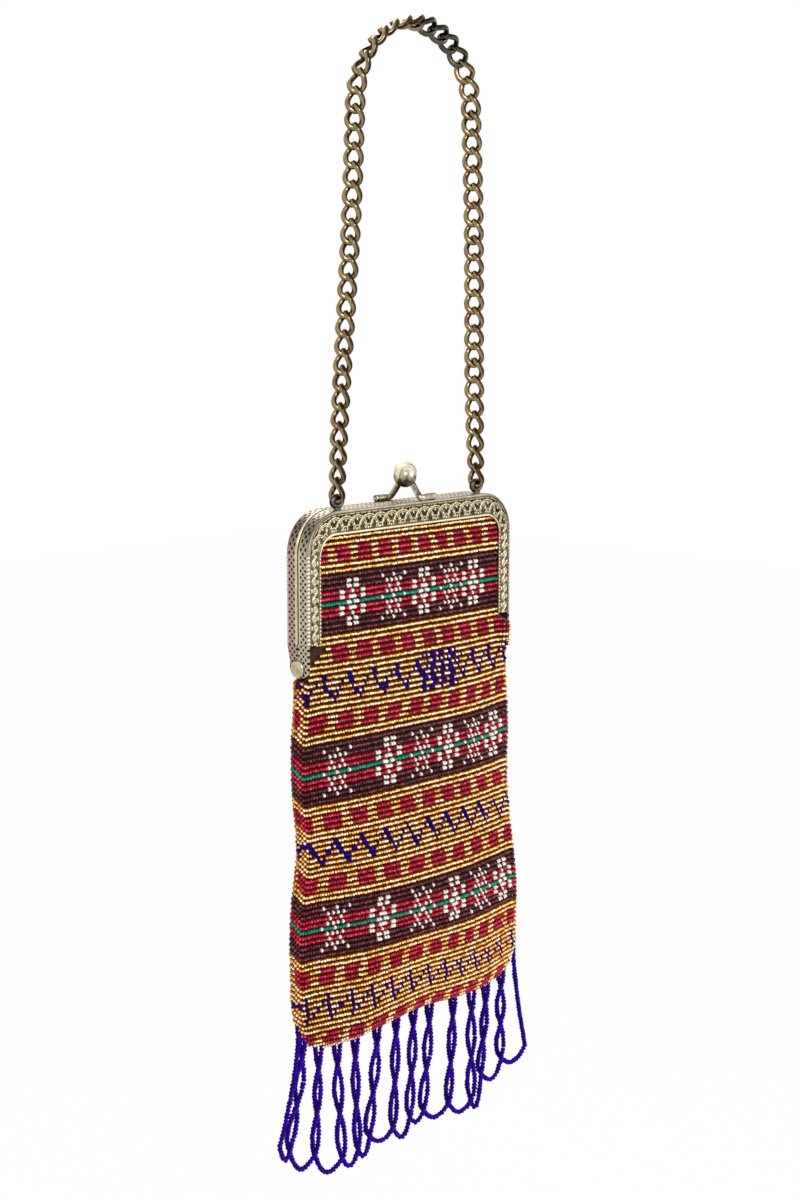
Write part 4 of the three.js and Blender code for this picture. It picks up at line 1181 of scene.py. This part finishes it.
def row_colours(entry, distance, side, random):
    """A row's bead colours, from the distances of its beads from its middle."""
    kind, row, number = entry
    columns = np.round(distance / BEAD_PITCH)
    place = distance + STRETCH * distance ** 2
    if kind == "band":
        return band_colours(row, columns, (FRONT_MOTIFS if side == FRONT else BACK_MOTIFS)[number])
    if kind == "blocks":
        period, middle = BLOCKS[number]
        shift = random.uniform(-BLOCK_STRAY, BLOCK_STRAY)
        off = np.abs(((place - middle + shift) / period + 0.5) % 1 - 0.5)
        inside = (off < BLOCK_SHARE / 2) & (place > BLOCKS_BEGIN.get(number, -math.inf))
        return np.where(inside, RED, GOLD)
    if kind == "zigzag":
        return zigzag_colours(row, columns, place, number, side)
    return np.full(len(columns), GOLD)


# Some beads are missing beside the left ear: the rows there, and where the beads begin.
MISSING_BEADS = {20: -49, 21: -51.5, 22: -54}
# The beads sewn down and those strung: the angles and reach of a bead's section, which of its finishes each
# side has, and the places of its rings along the hole with their shares of the radius. The finishes paint
# light:
# 0 is the painted highlight on the side facing out, 1 the lit side, and 2 the painted shade below a sewn bead
# and on a strung bead's far side.
SEWN = (
    np.radians([-90, -22, 22, 90, 180]), np.array([1, 1.08, 1.08, 1, 0.6]), [1, 0, 2, 2, 1],
    np.array([[-0.5, 0.62], [0, 1], [0.5, 0.62]]),
)
STRUNG = (
    np.radians(np.arange(7) * 360 / 7), np.ones(7), [0, 1, 1, 2, 1, 1, 0],
    np.array([[-0.5, 0.58], [-0.28, 0.93], [0, 1], [0.28, 0.93], [0.5, 0.58]]),
)


def add_beads(shape, places, along, out, radius, length, finishes, kind=SEWN):
    """Adds short barrel beads: each with its place, hole direction, outward side and first finish."""
    section, reach, parts, profile = kind
    out = unit(out - np.sum(out * along, axis=1, keepdims=True) * along)
    up = np.cross(along, out)
    ray = (np.cos(section) * reach)[None, :, None] * out[:, None]
    ray = ray + (np.sin(section) * reach)[None, :, None] * up[:, None]
    rings = []
    for shift, share in profile:
        middle = places + along * (length * shift)[:, None]
        rings.append(middle[:, None] + ray * (radius * share)[:, None, None])
    points = np.stack(rings, axis=1)
    sides, gaps = len(section), len(profile) - 1
    first = np.arange(len(places))[:, None, None] * len(profile) * sides
    quads = grid_faces(len(profile), sides)
    ends = end_faces(len(profile), sides)
    # Each side takes one of the painted highlight, lit and painted shaded finishes by the way it faces; the
    # ends take the painted shade.
    strips = np.asarray(finishes)[:, None] + np.tile(parts, gaps)
    shape.add(points, [(first + quads).reshape(-1, 4), (first + ends).reshape(-1, sides)],
              [strips.ravel(), np.repeat(finishes, 2) + BEAD_PARTS - 1])


def shaded(colours, random):
    """The first finish of a near tone of each bead's colour."""
    tones = np.diff(bead_first)[colours] // BEAD_PARTS
    tone = np.minimum((random.random(len(colours)) * tones).astype(int), tones - 1)
    return bead_first[colours] + tone * BEAD_PARTS


def bead_rows(name, side, first, last, random):
    """The beads of some rows of one side's cloth, as one piece."""
    shape = Shape()
    plan = row_plan()
    for row in range(first, last):
        section = skin_section(row_height(row), side)
        count = int(round(distances(section)[-1] / BEAD_PITCH))
        places, along, distance = spaced(section, count)
        colours = row_colours(plan[max(row, 0)], distance, side, random)
        out = np.stack([along[:, 1], -along[:, 0], 0 * along[:, 0]], axis=1)
        places = places + random.normal(0, PLACE_SPREAD, places.shape)
        along = unit(along + random.normal(0, TILT_SPREAD, along.shape))
        radius = BEAD_RADIUS * (1 + random.normal(0, RADIUS_SPREAD, count))
        long = BEAD_LENGTH * (1 + random.normal(0, LENGTH_SPREAD, count))
        beads = [places, along, out, radius, long, shaded(colours, random)]
        if side == FRONT and row in MISSING_BEADS:
            beads = [values[places[:, 0] > MISSING_BEADS[row]] for values in beads]
        add_beads(shape, *beads)
    return shape.piece(name, bead_palette, side, hang)


def shell(shape, outer, inner):
    """A closed thin sheet between two grids of points."""
    rows, columns = outer.shape[:2]
    count = rows * columns
    flat = grid_faces(rows, columns, ring_columns=False)
    edge = np.concatenate([
        np.arange(columns), np.arange(2, rows) * columns - 1,
        np.arange(count - 1, count - columns - 1, -1), np.arange(rows - 2, 0, -1) * columns,
    ])
    after = np.roll(edge, -1)
    rim = np.stack([edge, after, after + count, edge + count], axis=1)
    shape.add(np.concatenate([outer, inner]), [flat[:, ::-1], flat + count, rim])


def bare_share(z):
    """The cloth shows beyond its beads only beside the ends of the frame's legs."""
    return float(below(z, *BARE_BEGINS) * (1 - below(z, *BARE_ENDS)))


# The sheets behind the beads: how deep and thick each is, how far it reaches past the rows of beads at the
# top and stays above the pouch's bottom, and its margin beside them.
BACKING = (0.75, 0.5, 2.5, 0.5, 1)
LINING = (1.6, 0.35, 2, 3, 0)


def cloth(name, side, sheet, finish):
    inset, thickness, top, bottom, margin = sheet
    heights = np.linspace(POUCH_TOP + top, POUCH_BOTTOM + bottom, CLOTH_ROWS)
    outer, inner = (
        np.array([spaced(skin_section(z, side, depth, margin * bare_share(z)), CLOTH_COLUMNS, 0.0)[0]
                  for z in heights])
        for depth in (inset, inset + thickness))
    shape = Shape()
    shell(shape, outer, inner)
    return shape.piece(name, [finish], side, hang)


def bend(piece, side):
    """Bakes the piece's transform into its points."""
    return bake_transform(piece)


def beaded_side(word, side, seed):
    random = np.random.default_rng(seed)
    upper = bend(bead_rows(f"{word}_beads_upper", side, -1, UPPER_ROWS, random), side)
    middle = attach(bead_rows(f"{word}_beads_middle", side, UPPER_ROWS, MIDDLE_ROWS, random), "pouch")
    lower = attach(bead_rows(f"{word}_beads_lower", side, MIDDLE_ROWS, ROW_COUNT, random), "pouch")
    backing = cloth(f"{word}_backing_cloth", side, BACKING, backing_cloth)
    lining = cloth(f"{word}_lining", side, LINING, lining_cloth)
    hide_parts(f"{word}_window_panel", f"pouch_{word}_panel")
    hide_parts(f"{word}_window_lining", "pouch_lining")
    bend(backing, side)
    bend(lining, side)


def paper_cord(word, side):
    """The twisted paper cord that wedges the cloth in one half's channel."""
    inset = SHEET + FIT_GAP + CORD_RADIUS * CORD_ROOM
    x, z = arched_line(HALF_WIDTH - inset, inset, OUTER_CORNER - inset, CORD_END, CORD_STEPS).T
    path = np.stack([x, np.full(len(x), -(FACE_DEPTH + PARTING) / 2), z], axis=1)
    around = 2 * np.pi * np.arange(CORD_SIDES) / CORD_SIDES
    wound = around[None, :] - 2 * np.pi * distances(path)[:, None] / CORD_TWIST
    groove = CORD_GROOVE * (1 - np.cos(CORD_STRANDS * wound))
    shape = Shape()
    wire(shape, path, (0, 1, 0), CORD_RADIUS * (1 - groove), CORD_SIDES)
    made = shape.piece(f"{word}_paper_cord", [paper], side)
    fit(made, f"{word}_channel_cord", HALF_BODIES[side])


# The fringe: loops of violet beads, wound together in pairs.

LAST_COLUMN = len(FRINGE_COLUMNS) - 1


def loop_bottom(k):
    return POUCH_BOTTOM - LOOP_DROPS[k]


def column_end(k):
    """Where a column's two legs part: above the lowest points of both its loops."""
    return max(loop_bottom(i) for i in (k - 1, k) if 0 <= i < LAST_COLUMN) + LOOP_RISE


def seam_height(x):
    past = abs(x) - (POUCH_BELLY_HALF - BOTTOM_CORNER)
    rise = BOTTOM_CORNER - math.sqrt(max(BOTTOM_CORNER ** 2 - max(past, 0) ** 2, 0))
    return POUCH_BOTTOM + max(rise, SEAM_THICKNESS) + float(settle(np.array(x), POUCH_BOTTOM))


def fringe_leg(k, side):
    """One leg of a loop: from the seam down its column, wound around the column's other leg. It ends
    at the column's right (side 1) or left (side -1). The first and last columns have one leg."""
    share, stray = FRINGE_COLUMNS[k]
    place = share * POUCH_BELLY_HALF
    alone = k in (0, LAST_COLUMN)
    end, merged = column_end(k), seam_height(place) - SEAM_MERGE
    half_turns = round((merged - end) / TWIST_HALF_PITCH)
    wind = 0 if alone else side * (1 + TWIST_VARIES * math.sin(TWIST_WAVE * k))
    spread = 0 if alone else -side * SEAM_SPREAD * math.cos(math.pi * half_turns)
    top = seam_height(place + spread) + SEAM_THICKNESS
    z = np.linspace(merged, end, LEG_POINTS)
    turn = np.pi * half_turns * (z - end) / (merged - end)
    drift = stray * ((merged - z) / (merged - end)) ** STRAY_CURVE
    x = place + drift - wind * TWIST_WIDTH * np.sin(turn)
    wound = np.stack([x, wind * TWIST_DEPTH * np.cos(turn), z], axis=1)
    return np.vstack([[(place + spread, 0, top)], wound])


def fringe_loop(k, random):
    left, right = fringe_leg(k, 1), fringe_leg(k + 1, -1)[::-1]
    share = np.linspace(0, 1, ARC_POINTS)[1:-1]
    arc = mix(left[-1], right[0], share[:, None])
    arc[:, 2] = mix(arc[:, 2], loop_bottom(k), 4 * share * (1 - share))
    line = through(np.vstack([left, arc, right]), STRAND_STEPS)
    count = int(round(distances(line)[-1] / STRAND_PITCH))
    places, along, _ = spaced(line, count)
    out = np.cross(along, np.cross(STRAND_FACING, along))
    places = places + random.normal(0, STRAND_PLACE_SPREAD, places.shape)
    radius = STRAND_RADIUS * (1 + random.normal(0, STRAND_RADIUS_SPREAD, count))
    shape = Shape()
    add_beads(shape, places, along, out, radius, np.full(count, STRAND_LENGTH),
              shaded(np.full(count, VIOLET), random), kind=STRUNG)
    made = shape.piece(f"fringe_beads_{k + 1:02d}", bead_palette, FRONT, hang)
    fit(made, f"fringe_loop_{k + 1:02d}", "pouch")


HALVES = [("front", FRONT), ("rear", BACK)]
ENDS = [("left", -1), ("right", 1)]
for make, places in [(frame_half, HALVES), (hinge_rivet, ENDS), (clasp, HALVES), (chain_eye, ENDS)]:
    for word, side in places:
        make(word, side)
chain()
for word, side in HALVES:
    paper_cord(word, side)
beaded_side("front", FRONT, 11)
beaded_side("back", BACK, 23)
fringe_random = np.random.default_rng(37)
for loop in range(LAST_COLUMN):
    fringe_loop(loop, fringe_random)


# The studio.

def camera():
    lens = bpy.data.cameras.new("camera")
    lens.lens = CAMERA_LENS
    lens.sensor_width = CAMERA_SENSOR
    made = in_scene("camera", lens)
    turn, drop = math.radians(CAMERA_TURN), math.radians(CAMERA_DROP)
    back = np.array([math.sin(turn) * math.cos(drop), -math.cos(turn) * math.cos(drop), math.sin(drop)])
    made.location = BAG_ORIGIN + (CAMERA_TARGET + back * CAMERA_DISTANCE) * MM
    made.rotation_euler = (math.pi / 2 - drop, 0, turn)
    bpy.context.scene.camera = made


def soft_lamp(name, place, size, power):
    """A square soft lamp that shines at the bag's middle."""
    light = bpy.data.lights.new(name, "AREA")
    light.size = size
    light.energy = power
    made = in_scene(name, light)
    made.location = place
    middle = Vector((0, 0, (cad_low.z + cad_high.z) / 2))
    made.rotation_euler = (middle - made.location).to_track_quat("-Z", "Y").to_euler()


def floor():
    """A pale floor that looks white and still takes the bag's shadow."""
    level = cad_low.z - FLOOR_DROP
    mesh = bpy.data.meshes.new("floor")
    corners = [(-1, -1), (1, -1), (1, 1), (-1, 1)]
    mesh.from_pydata([(x * FLOOR_HALF, y * FLOOR_HALF, level) for x, y in corners], [], [(0, 1, 2, 3)])
    finish = Finish("pale_floor", {"Base Color": srgb(245, 245, 245), "Roughness": 0.9})
    glow = finish.node("Emission", {}, {"Color": (1, 1, 1, 1), "Strength": 1.0})
    shader = Tone(finish, finish.shader.outputs["BSDF"])
    blended = finish.node("MixShader", {}, [finish.seen_directly() * FLOOR_GLOW, shader, glow])
    finish.put(finish.tree.nodes["Material Output"].inputs["Surface"], blended)
    mesh.materials.append(finish.material)
    in_scene("floor", mesh)


def studio():
    world = bpy.data.worlds.new("white_studio")
    world.use_nodes = True
    bpy.context.scene.world = world
    nodes = Nodes(world.node_tree)
    background = world.node_tree.nodes["Background"].inputs
    nodes.put(background["Color"], (1, 1, 1, 1))
    nodes.put(background["Strength"], nodes.seen_directly() * (1 - AMBIENT) + AMBIENT)
    soft_lamp("key_lamp", (-0.75, -0.95, 0.45), 0.5, 9)
    soft_lamp("fill_lamp", (0.55, -1.1, 0.1), 0.6, 5)
    soft_lamp("rim_lamp", (0.5, 0.9, 0.5), 0.5, 5)


camera()
studio()
floor()
bpy.context.scene.view_settings.view_transform = "Standard"
